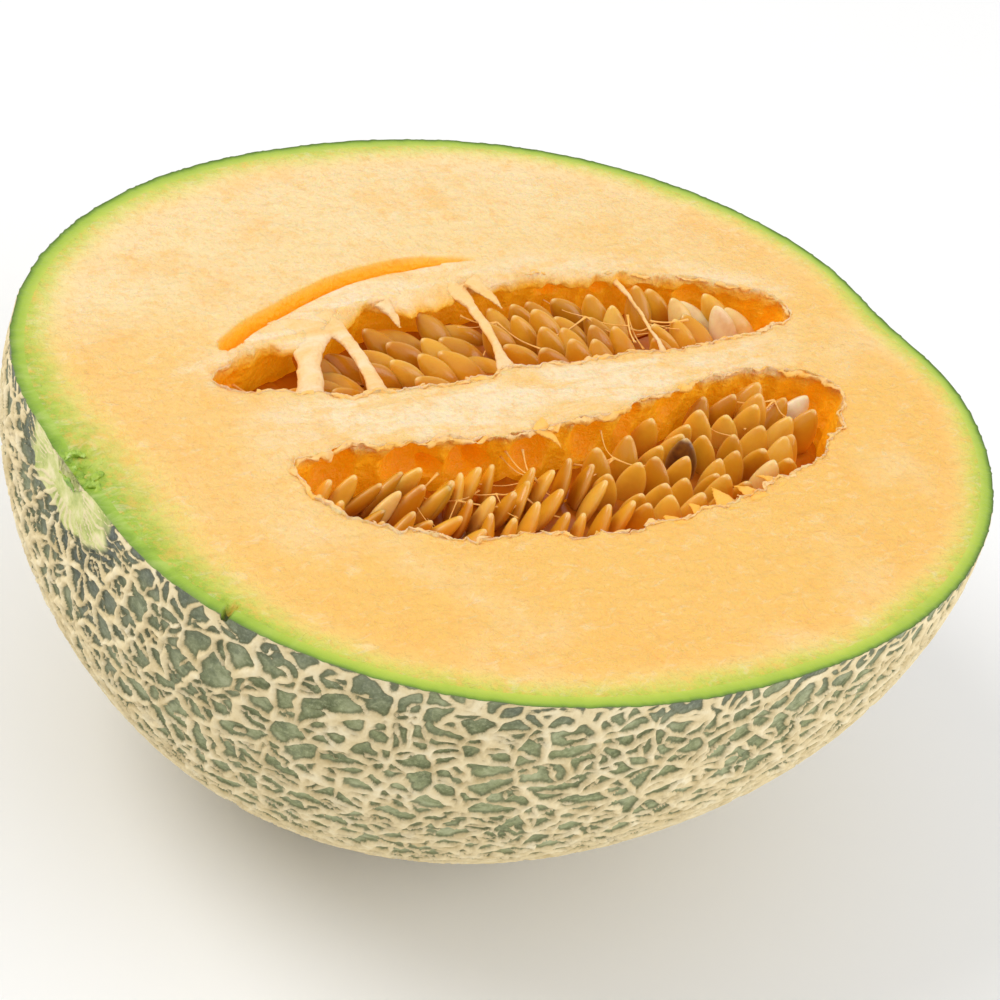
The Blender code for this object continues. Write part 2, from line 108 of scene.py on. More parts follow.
def softNoise(points, size, seed):
    # smooth noise from -1 to 1, with features of this size
    p = np.asarray(points, float) / size + seed * 17.137
    cell = np.floor(p).astype(np.int64)
    f = p - cell
    f = f * f * (3.0 - 2.0 * f)
    total = np.zeros(len(p))
    for corner in range(8):
        step = (corner & 1, corner >> 1 & 1, corner >> 2 & 1)
        weight = np.ones(len(p))
        for axis in range(3):
            weight = weight * (f[:, axis] if step[axis] else 1.0 - f[:, axis])
        total += weight * hashed(cell[:, 0] + step[0], cell[:, 1] + step[1], cell[:, 2] + step[2] + seed * 31)
    return total * 2.0 - 1.0


def roughNoise(points, size, seed, octaves=3):
    total = np.zeros(len(points))
    for octave in range(octaves):
        total += softNoise(points, size / 2.0 ** octave, seed + octave * 7) * 0.55 ** octave
    return total


def smoothStep(low, high, value):
    share = np.clip((value - low) / (high - low), 0.0, 1.0)
    return share * share * (3.0 - 2.0 * share)


def addPiece(name, points, faces, nodes=(), material=None, attributes=None, sharp=None):
    # a mesh from points in millimetres, with its values for the shader
    mesh = bpy.data.meshes.new(name)
    mesh.from_pydata([tuple(p) for p in (np.asarray(points) * millimetre).tolist()], [], [list(f) for f in faces])
    for key, values in (attributes or {}).items():
        layer = mesh.attributes.new(key, "FLOAT", "POINT")
        layer.data.foreach_set("value", np.asarray(values, np.float32))
    mesh.validate()
    mesh.shade_smooth()
    if sharp:
        mesh.set_sharp_from_angle(angle=math.radians(sharp))
    piece = bpy.data.objects.new(name, mesh)
    bpy.context.scene.collection.objects.link(piece)
    for one in (material if isinstance(material, (list, tuple)) else [material]):
        mesh.materials.append(one)
    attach(piece, "root")
    if nodes:
        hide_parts(*nodes)
    return piece


def ballPoints(elevation, turn):
    return np.stack([np.cos(elevation) * np.cos(turn), np.cos(elevation) * np.sin(turn), np.sin(elevation)], -1)


def innerShell(level, azimuth, rows, inset):
    # rows of points from the rim down to the lowest point, under the rind
    down = np.linspace(0.0, 1.0, rows + 1)[1:, None]
    elevation = level[None, :] * (1 - down) + lowest * down
    turn = np.broadcast_to(azimuth[None, :], elevation.shape)
    directions = ballPoints(elevation, turn).reshape(-1, 3)
    return melonPoint(directions, np.full(len(directions), inset))


def fleshValues(count, **changed):
    # a loose bit of flesh, far from the skin, with what differs
    values = {"depth": 0.0, "pulp": 0.0, "fromSkin": 30.0, "stemShare": 0.0, "warmShare": 0.0, "milky": 0.0}
    return {key: np.zeros(count) + changed.get(key, start) for key, start in values.items()}


def gridFaces(rows, columns, offset=0, closed=True, flip=False):
    # quads between rows of points laid out one row after another
    r = np.arange(rows - 1)[:, None]
    c = np.arange(columns if closed else columns - 1)[None, :]
    n = (c + 1) % columns
    quads = np.stack([
        np.broadcast_to(r * columns + c, (rows - 1, c.shape[1])),
        np.broadcast_to(r * columns + n, (rows - 1, c.shape[1])),
        np.broadcast_to((r + 1) * columns + n, (rows - 1, c.shape[1])),
        np.broadcast_to((r + 1) * columns + c, (rows - 1, c.shape[1])),
    ], axis=-1).reshape(-1, 4) + offset
    return (quads[:, ::-1] if flip else quads).tolist()


# shader helpers
def srgb(red, green, blue):
    def linear(value):
        value /= 255.0
        return value / 12.92 if value <= 0.04045 else ((value + 0.055) / 1.055) ** 2.4
    return (linear(red), linear(green), linear(blue), 1.0)


class Nodes:
    # a short way to write shader nodes
    def __init__(self, tree):
        self.tree = tree

    def add(self, kind, settings=None, **inputs):
        node = self.tree.nodes.new(kind)
        for key, value in (settings or {}).items():
            setattr(node, key, value)
        for key, value in inputs.items():
            self.put(node, key, value)
        return node

    def put(self, node, key, value):
        numbered = key[0] == "i" and key[1:].isdigit()
        socket = node.inputs[int(key[1:]) if numbered else key.replace("_", " ")]
        if isinstance(value, bpy.types.NodeSocket):
            self.tree.links.new(value, socket)
        else:
            socket.default_value = value

    def value(self, name):
        return self.add("ShaderNodeAttribute", {"attribute_name": name}).outputs["Fac"]

    def math(self, how, a, b=0.0, c=0.0):
        return self.add("ShaderNodeMath", {"operation": how}, i0=a, i1=b, i2=c).outputs[0]

    def blend(self, share, a, b):
        node = self.add("ShaderNodeMix", {"data_type": "RGBA", "blend_type": "MIX"})
        self.put(node, "i0", share)
        self.put(node, "i6", a)
        self.put(node, "i7", b)
        return node.outputs[2]

    def ramp(self, share, stops):
        node = self.add("ShaderNodeValToRGB", i0=share)
        elements = node.color_ramp.elements
        while len(elements) > 1:
            elements.remove(elements[-1])
        elements[0].position, elements[0].color = stops[0]
        for position, colour in stops[1:]:
            elements.new(position).color = colour
        return node.outputs[0]

    def span(self, value, low, high, toLow=0.0, toHigh=1.0, soft=True):
        settings = {"interpolation_type": "SMOOTHSTEP" if soft else "LINEAR", "clamp": True}
        node = self.add("ShaderNodeMapRange", settings, i0=value, i1=low, i2=high, i3=toLow, i4=toHigh)
        return node.outputs[0]

    def place(self, stretch=(1.0, 1.0, 1.0)):
        coords = self.add("ShaderNodeTexCoord").outputs["Object"]
        return self.add("ShaderNodeMapping", i0=coords, Scale=stretch).outputs[0]

    def noise(self, vector, scale, detail=3.0, rough=0.55, warp=0.0):
        node = self.add("ShaderNodeTexNoise", Vector=vector, Scale=scale, Detail=detail, Roughness=rough)
        self.put(node, "Distortion", warp)
        return node.outputs[0]

    def bump(self, height, strength, distance):
        return self.add("ShaderNodeBump", Height=height, Strength=strength, Distance=distance).outputs[0]

    def gradient(self):
        return useGroup(self, cutGradient, From_Skin=self.value("fromSkin"), Stem_Share=self.value("stemShare"))


def newMaterial(name):
    material = bpy.data.materials.new(name)
    material.use_nodes = True
    material.node_tree.nodes.clear()
    nodes = Nodes(material.node_tree)
    shader = nodes.add("ShaderNodeBsdfPrincipled")
    output = nodes.add("ShaderNodeOutputMaterial")
    nodes.tree.links.new(shader.outputs[0], output.inputs["Surface"])
    return material, nodes, shader


def newGroup(name, inputs, outputs):
    # an effect that several materials share
    tree = bpy.data.node_groups.new(name, "ShaderNodeTree")
    for label, kind, start in inputs:
        socket = tree.interface.new_socket(label, in_out="INPUT", socket_type=kind)
        socket.default_value = start
    for label, kind in outputs:
        tree.interface.new_socket(label, in_out="OUTPUT", socket_type=kind)
    nodes = Nodes(tree)
    source = nodes.add("NodeGroupInput")
    target = nodes.add("NodeGroupOutput")
    return tree, nodes, source, target


def useGroup(nodes, tree, **inputs):
    node = nodes.add("ShaderNodeGroup", {"node_tree": tree})
    for key, value in inputs.items():
        nodes.put(node, key, value)
    return node


# shared effects
def makeCutGradient():
    # colour of the cut from the skin inwards: green, yellow-green, then orange flesh
    tree, nodes, source, target = newGroup(
        "cutGradient",
        [("From Skin", "NodeSocketFloat", 10.0), ("Stem Share", "NodeSocketFloat", 0.0)],
        [("Colour", "NodeSocketColor"), ("Green Share", "NodeSocketFloat")],
    )
    place = nodes.place()
    drift = nodes.noise(place, 45.0, 3.0)
    fine = nodes.noise(nodes.place((1.0, 1.0, 0.2)), 420.0, 3.0, 0.65)
    wide = nodes.math("MULTIPLY_ADD", source.outputs["Stem Share"], 1.3, 1.25)
    depth = nodes.math("DIVIDE", source.outputs["From Skin"], wide)
    inner = nodes.span(depth, 0.2, 3.0)
    drift = nodes.math("MULTIPLY", nodes.math("SUBTRACT", drift, 0.5), 3.4)
    depth = nodes.math("MULTIPLY_ADD", drift, inner, depth)
    fine = nodes.math("MULTIPLY", nodes.math("SUBTRACT", fine, 0.5), 2.2)
    depth = nodes.math("MULTIPLY_ADD", fine, inner, depth)
    share = nodes.math("DIVIDE", depth, 12.0)
    colour = nodes.ramp(share, [
        (0.0, srgb(70, 94, 22)), (0.025, srgb(112, 146, 34)), (0.07, srgb(160, 189, 56)),
        (0.17, srgb(194, 208, 76)), (0.28, srgb(218, 220, 102)), (0.42, srgb(242, 225, 132)),
        (0.58, srgb(252, 216, 134)), (0.8, srgb(254, 210, 130)), (1.0, srgb(254, 207, 126)),
    ])
    stem = nodes.math("MULTIPLY", source.outputs["Stem Share"], nodes.span(share, 0.5, 0.05, 0.0, 0.62))
    streak = nodes.noise(nodes.place((0.5, 1.0, 1.0)), 300.0, 4.0, 0.65, 0.8)
    streak = nodes.ramp(streak, [
        (0.32, srgb(108, 148, 42)), (0.5, srgb(150, 186, 60)), (0.7, srgb(200, 218, 124)),
    ])
    colour = nodes.blend(stem, colour, streak)
    nodes.tree.links.new(colour, target.inputs["Colour"])
    nodes.tree.links.new(nodes.span(share, 0.1, 0.62, 1.0, 0.0), target.inputs["Green Share"])
    return tree


def makeWetFibre():
    # the moist grain of cut fruit: fine cells, short fibres and small sparkling pits
    tree, nodes, source, target = newGroup(
        "wetFibre",
        [("Size", "NodeSocketFloat", 1.0), ("Fibre", "NodeSocketFloat", 0.5)],
        [("Height", "NodeSocketFloat"), ("Mask", "NodeSocketFloat")],
    )
    scale = source.outputs["Size"]
    place = nodes.place()
    cellScale = nodes.math("MULTIPLY", scale, 900.0)
    cells = nodes.add("ShaderNodeTexVoronoi", Vector=place, Scale=cellScale).outputs["Distance"]
    grain = nodes.noise(place, nodes.math("MULTIPLY", scale, 650.0), 3.0, 0.7)
    fibre = nodes.noise(nodes.place((0.7, 1.3, 1.0)), nodes.math("MULTIPLY", scale, 420.0), 4.0, 0.7, 0.9)
    height = nodes.math("MULTIPLY_ADD", cells, 0.35, grain)
    height = nodes.math("MULTIPLY_ADD", nodes.math("MULTIPLY", fibre, source.outputs["Fibre"]), 1.2, height)
    nodes.tree.links.new(height, target.inputs["Height"])
    nodes.tree.links.new(nodes.span(fibre, 0.52, 0.72), target.inputs["Mask"])
    return tree


cutGradient = makeCutGradient()
wetFibre = makeWetFibre()


# materials
def makeSkin():
    # raised corky net over grey-green skin, with the stem's pale scar
    material, nodes, shader = newMaterial("nettedSkin")
    net = nodes.value("net")
    scar = nodes.value("scar")
    stem = nodes.value("stemShare")
    low = nodes.value("lowShare")
    place = nodes.place()
    ragged = nodes.noise(place, 900.0, 3.0, 0.7)
    edge = nodes.math("MULTIPLY_ADD", nodes.math("SUBTRACT", ragged, 0.5), 0.55, net)
    netShare = nodes.span(edge, -0.1, 0.1)
    patch = nodes.noise(place, 230.0, 5.0, 0.7)
    speck = nodes.noise(place, 1500.0, 3.0, 0.7)
    skin = nodes.ramp(patch, [(0.3, srgb(98, 106, 66)), (0.48, srgb(142, 149, 104)), (0.66, srgb(182, 186, 144))])
    skin = nodes.blend(nodes.span(speck, 0.45, 0.72, 0.0, 0.55), skin, srgb(190, 194, 150))
    blotch = nodes.noise(place, 480.0, 3.0, 0.6)
    skin = nodes.blend(nodes.span(blotch, 0.52, 0.68, 0.0, 0.5), skin, srgb(92, 102, 68))
    dark = nodes.ramp(speck, [(0.3, srgb(54, 60, 58)), (0.6, srgb(92, 100, 94)), (0.85, srgb(164, 168, 154))])
    skin = nodes.blend(nodes.math("MULTIPLY", stem, 0.92), skin, dark)
    skin = nodes.blend(nodes.math("MULTIPLY", low, 0.75), skin, srgb(194, 182, 124))
    # painted shade: the skin darkened next to the net lines, as shade beside their raised sides
    skin = nodes.blend(nodes.span(edge, -0.5, -0.08, 0.0, 0.5), skin, srgb(92, 90, 52))
    grain = nodes.noise(place, 260.0, 4.0, 0.65)
    cork = nodes.ramp(grain, [
        (0.28, srgb(214, 192, 142)), (0.5, srgb(236, 217, 172)), (0.72, srgb(249, 236, 200)),
    ])
    cork = nodes.blend(nodes.math("MULTIPLY", low, 0.4), cork, srgb(238, 216, 164))
    # painted shade: the net lines darker at their sides than on their crests
    shadedSideMask = nodes.span(edge, 0.0, 0.3)
    cork = nodes.blend(shadedSideMask, nodes.blend(0.35, cork, srgb(160, 140, 90)), cork)
    colour = nodes.blend(netShare, skin, cork)
    pale = nodes.ramp(grain, [
        (0.32, srgb(160, 176, 84)), (0.5, srgb(206, 208, 130)), (0.68, srgb(238, 228, 178)),
    ])
    pale = nodes.blend(nodes.math("MULTIPLY", netShare, 0.75), pale, srgb(240, 222, 182))
    colour = nodes.blend(scar, colour, pale)
    nodes.put(shader, "Base Color", colour)
    nodes.put(shader, "Roughness", nodes.span(netShare, 0.0, 1.0, 0.5, 0.78, False))
    shader.inputs["Specular IOR Level"].default_value = 0.35
    height = nodes.math("MULTIPLY_ADD", speck, 0.5, nodes.noise(place, 700.0, 4.0, 0.7))
    nodes.put(shader, "Normal", nodes.bump(height, 0.55, 0.00035))
    return material


def makeRim():
    material, nodes, shader = newMaterial("cutRim")
    gradient = nodes.gradient()
    grain = useGroup(nodes, wetFibre, Size=1.0, Fibre=0.5)
    torn = nodes.noise(nodes.place((1.0, 0.6, 1.0)), 420.0, 4.0, 0.7, 1.2)
    green = nodes.ramp(torn, [
        (0.3, srgb(58, 96, 22)), (0.46, srgb(122, 164, 44)),
        (0.6, srgb(176, 208, 84)), (0.76, srgb(226, 236, 176)),
    ])
    colour = nodes.blend(nodes.value("torn"), gradient.outputs["Colour"], green)
    # painted shade: the small nick in the cut edge coloured dark, as shade inside the narrow slit
    colour = nodes.blend(nodes.value("nick"), colour, srgb(58, 70, 48))
    nodes.put(shader, "Base Color", colour)
    shader.inputs["Roughness"].default_value = 0.36
    nodes.put(shader, "Normal", nodes.bump(grain.outputs["Height"], 0.5, 0.0004))
    return material


def makeFlesh(name, rough, glow):
    # cut face, chamber walls and torn pulp: "depth" is how far below the cut, raised in the wall hollows and the slit
    # as painted shade, "pulp" how pale
    material, nodes, shader = newMaterial(name)
    gradient = nodes.gradient()
    grain = useGroup(nodes, wetFibre, Size=1.0, Fibre=0.8)
    place = nodes.place()
    cloud = nodes.noise(place, 38.0, 3.0, 0.6)
    warm = nodes.noise(nodes.place((1.0, 1.0, 0.4)), 85.0, 4.0, 0.6)
    streak = nodes.noise(nodes.place((0.28, 1.0, 1.0)), 210.0, 5.0, 0.65, 0.7)
    warmth = nodes.span(nodes.value("warmShare"), 0.0, 1.0, 0.0, 0.9, False)
    face = nodes.blend(warmth, srgb(254, 221, 164), srgb(254, 196, 98))
    face = nodes.blend(nodes.span(warm, 0.46, 0.74, 0.0, 0.5), face, srgb(255, 192, 100))
    face = nodes.blend(nodes.span(cloud, 0.48, 0.75, 0.0, 0.5), face, srgb(255, 226, 174))
    milky = nodes.math("MULTIPLY", nodes.value("milky"), nodes.span(streak, 0.38, 0.6, 0.2, 1.3))
    face = nodes.blend(milky, face, srgb(255, 233, 196))
    face = nodes.blend(gradient.outputs["Green Share"], face, gradient.outputs["Colour"])
    face = nodes.blend(nodes.math("MULTIPLY", grain.outputs["Mask"], 0.3), face, srgb(255, 238, 200))
    spots = nodes.noise(place, 950.0, 3.0, 0.7)
    face = nodes.blend(nodes.span(spots, 0.36, 0.5, 0.3, 0.0), face, srgb(250, 182, 88))
    mottle = nodes.noise(place, 230.0, 4.0, 0.7)
    face = nodes.blend(nodes.span(mottle, 0.52, 0.7, 0.0, 0.4), face, srgb(252, 190, 96))
    deep = nodes.ramp(nodes.math("DIVIDE", nodes.value("depth"), 16.0), [
        (0.0, srgb(255, 208, 128)), (0.06, srgb(255, 196, 84)), (0.2, srgb(255, 182, 34)),
        (0.42, srgb(254, 178, 26)), (0.8, srgb(238, 152, 12)),
    ])
    pale = nodes.ramp(streak, [
        (0.32, srgb(254, 190, 104)), (0.5, srgb(255, 214, 156)), (0.66, srgb(255, 234, 206)),
    ])
    inner = nodes.blend(nodes.math("MULTIPLY", nodes.value("pulp"), 0.85), deep, pale)
    colour = nodes.blend(nodes.span(nodes.value("depth"), 0.05, 1.4), face, inner)
    nodes.put(shader, "Base Color", colour)
    nodes.put(shader, "Roughness", nodes.span(grain.outputs["Mask"], 0.0, 1.0, 0.42, 0.24, False))
    shader.inputs["Subsurface Weight"].default_value = glow
    shader.inputs["Subsurface Radius"].default_value = (1.0, 0.6, 0.2)
    shader.inputs["Subsurface Scale"].default_value = 0.0014
    # painted glow: orange emission that grows with depth below the cut, standing in for light the wet flesh carries
    # into its hollows
    paintedGlow = nodes.blend(nodes.span(nodes.value("depth"), 0.6, 4.5), srgb(0, 0, 0), srgb(255, 172, 6))
    paintedGlow = nodes.blend(nodes.math("MULTIPLY", nodes.value("pulp"), 0.7), paintedGlow, srgb(0, 0, 0))
    nodes.put(shader, "Emission Color", paintedGlow)
    shader.inputs["Emission Strength"].default_value = 0.19
    shader.inputs["Specular IOR Level"].default_value = 0.3
    nodes.put(shader, "Normal", nodes.bump(grain.outputs["Height"], rough, 0.0008))
    return material


def makeSeedSkin():
    # "tone" differs from seed to seed, and its low end colours the pulp bed dark brown, as painted shade between the
    # seeds; "along" runs from the root to the tip, "edge" marks the rim
    material, nodes, shader = newMaterial("seedSkin")
    tone = nodes.value("tone")
    along = nodes.value("along")
    place = nodes.place()
    streak = nodes.noise(place, 320.0, 4.0, 0.6)
    base = nodes.ramp(tone, [
        (0.0, srgb(70, 40, 36)), (0.06, srgb(118, 68, 22)), (0.14, srgb(206, 126, 10)), (0.3, srgb(208, 142, 26)),
        (0.55, srgb(232, 166, 38)), (0.82, srgb(244, 190, 70)), (0.92, srgb(248, 214, 140)), (1.0, srgb(252, 238, 200)),
    ])
    colour = nodes.blend(nodes.span(streak, 0.35, 0.75, 0.0, 0.35), base, srgb(206, 130, 26))
    # partly painted shade: seeds darker and more orange towards the root, for the orange pulp on them and the shade
    # where they stand among the others
    colour = nodes.blend(nodes.span(along, 0.55, 0.0, 0.0, 0.8), colour, srgb(190, 100, 8))
    colour = nodes.blend(nodes.math("MULTIPLY", nodes.value("edge"), 0.35), colour, srgb(246, 200, 116))
    colour = nodes.blend(nodes.span(along, 0.93, 1.0, 0.0, 0.6), colour, srgb(250, 218, 150))
    nodes.put(shader, "Base Color", colour)
    shader.inputs["Roughness"].default_value = 0.27
    shader.inputs["Subsurface Weight"].default_value = 0.3
    shader.inputs["Subsurface Radius"].default_value = (1.0, 0.55, 0.15)
    shader.inputs["Subsurface Scale"].default_value = 0.0014
    shader.inputs["Specular IOR Level"].default_value = 0.35
    shader.inputs["Coat Weight"].default_value = 0.25
    shader.inputs["Coat Roughness"].default_value = 0.12
    height = nodes.math("MULTIPLY_ADD", nodes.noise(place, 1400.0, 2.0), 0.4, nodes.noise(place, 260.0, 3.0))
    nodes.put(shader, "Normal", nodes.bump(height, 0.18, 0.0005))
    return material


skinMaterial = makeSkin()
rimMaterial = makeRim()
fleshMaterial = makeFlesh("orangeFlesh", 0.7, 0.4)
fleshEdgeMaterial = makeFlesh("greenFlesh", 0.7, 0.0)
pulpMaterial = makeFlesh("palePulp", 0.5, 0.0)
seedMaterial = makeSeedSkin()
report("materials")


# the net on the rind
net = {
    "mainCells": (3400, 0.55, 11),      # how many over a whole melon, how disturbed, which draw
    "fineCells": (11500, 0.6, 23),
    "radius": 76.0,                    # of the ball that the cells are laid out on
    "mainHalfWidth": 0.45,
    "fineHalfWidth": 0.33,
    "missingShare": 0.3,               # of the fine lines
    "stemStretch": (1.0, 0.7),         # how much longer the cells are near the stem, over what angle
    "height": 0.72,
    "crestInset": 0.12,
    "calmDepth": 7.0,                  # below the cut, where the net's relief is fully grown
    "scar": (1.0, 13.6, 7.2),          # of the stem: middle across, half its width, how far it reaches down
    "ribs": 34,                        # round the stem
}
# where the cut dips: at the torn stem and at a small nick in the edge
dips = {
    "stem": (-81.6, 1.5, 7.5, 4.6, 3.4),            # middle, reach along and across, depth
    "nick": (-75.2, -34.4, -71.8, -31.6, 0.75, 1.7),  # from, to, half width, depth
}


def cutDips(points):
    # how far the cut face dips at each point, and the shares that are torn or nicked
    x, y = points[:, 0] - middle[0], points[:, 1] - middle[1]
    x0, y0, along, across, deep = dips["stem"]
    flat = np.column_stack([x, y, np.zeros(len(points))])
    torn = np.exp(-(((x - x0) / along) ** 2) - ((y - y0) / across) ** 2)
    drop = deep * torn * np.clip(0.85 + 0.7 * roughNoise(flat, 2.2, 201, 3), 0.1, 2.0)
    x0, y0, x1, y1, half, deep = dips["nick"]
    share = np.clip(((x - x0) * (x1 - x0) + (y - y0) * (y1 - y0)) / ((x1 - x0) ** 2 + (y1 - y0) ** 2), 0, 1)
    away = np.hypot(x - x0 - share * (x1 - x0), y - y0 - share * (y1 - y0)) + 0.2 * softNoise(flat, 0.9, 207)
    nick = np.clip(1.0 - (away / half) ** 2, 0.0, 1.0)
    return drop + deep * nick, torn, nick


def scattered(count, jitter, seed):
    # evenly spread, slightly disturbed directions
    draw = random.Random(seed)
    turn = math.pi * (3.0 - math.sqrt(5.0))
    spacing = math.sqrt(4.0 * math.pi / count)
    found = []
    for i in range(count):
        z = 1.0 - 2.0 * (i + 0.5) / count
        radius = math.sqrt(1.0 - z * z)
        point = Vector((z, radius * math.cos(turn * i), radius * math.sin(turn * i)))
        shift = Vector([draw.uniform(-1.0, 1.0) for _ in range(3)])
        found.append((point + shift * spacing * jitter).normalized())
    return np.array(found)


def stretched(points):
    # exaggerates the way round the stem's axis, which draws cells out along it
    amount, spread = net["stemStretch"]
    angle = np.arccos(np.clip(-unit(points)[:, 0], -1, 1))
    factor = 1.0 + amount * np.exp(-((angle / spread) ** 2))
    return np.stack([points[:, 0], points[:, 1] * factor, points[:, 2] * factor], axis=1)


def treeOf(points):
    tree = KDTree(len(points))
    for i, p in enumerate(points):
        tree.insert(p, i)
    tree.balance()
    return tree


def nearest(tree, points, count):
    return np.array([[hit[1] for hit in tree.find_n(p, count)] for p in points.tolist()])


def lineDistance(points, seeds, a, b):
    # from each point in seed a's cell to the line between it and seed b's
    pa = points - seeds[a]
    pb = points - seeds[b]
    apart = np.linalg.norm(seeds[a] - seeds[b], axis=1)
    return ((pb ** 2).sum(1) - (pa ** 2).sum(1)) / np.maximum(2.0 * apart, 1e-6)


def netField(directions):
    # above 0 on a line of the net, in millimetres from its edge
    ball = directions * net["radius"]
    warped = ball + np.stack([
        softNoise(ball, 4.5, 3 + k) * 0.95 + softNoise(ball, 1.5, 13 + k) * 0.5 for k in range(3)
    ], axis=1)
    mains = scattered(*net["mainCells"]) * net["radius"]
    mains = mains[mains[:, 2] < 14.0]
    fines = scattered(*net["fineCells"]) * net["radius"]
    fines = fines[fines[:, 2] < 10.0]
    mainTree = treeOf(mains)
    near = nearest(mainTree, warped, 4)
    parentOf = nearest(mainTree, fines, 1)[:, 0]
    lines = []
    for k in range(1, 4):
        strength = hashed(near[:, [0, k]].min(1), near[:, [0, k]].max(1), 5)
        width = net["mainHalfWidth"] * (0.75 + 0.5 * strength)
        width = np.where(strength < 0.07, -1.0, width)
        lines.append(width - lineDistance(warped, mains, near[:, 0], near[:, k]))
    seedPlaces = stretched(fines)
    places = stretched(warped)
    close = nearest(treeOf(seedPlaces), places, 7)
    own = parentOf[close] == near[:, :1]
    order = np.argsort(~own, axis=1, kind="stable")
    close = np.take_along_axis(close, order, axis=1)
    count = own.sum(1)
    for k in range(1, 4):
        a, b = close[:, 0], close[:, k]
        strength = hashed(np.minimum(a, b), np.maximum(a, b), 9)
        width = net["fineHalfWidth"] * (0.7 + 0.55 * strength)
        width = np.where(strength < net["missingShare"], -1.0, width)
        found = width - lineDistance(places, seedPlaces, a, b)
        lines.append(np.where(count > k, found, -3.0))
    soft = 0.16
    total = soft * np.log(sum(np.exp(np.clip(line, -4, 4) / soft) for line in lines))
    total += 0.2 * softNoise(ball, 1.5, 41) + 0.14 * softNoise(ball, 5.0, 43) + 0.1 * softNoise(ball, 0.8, 47)
    return total


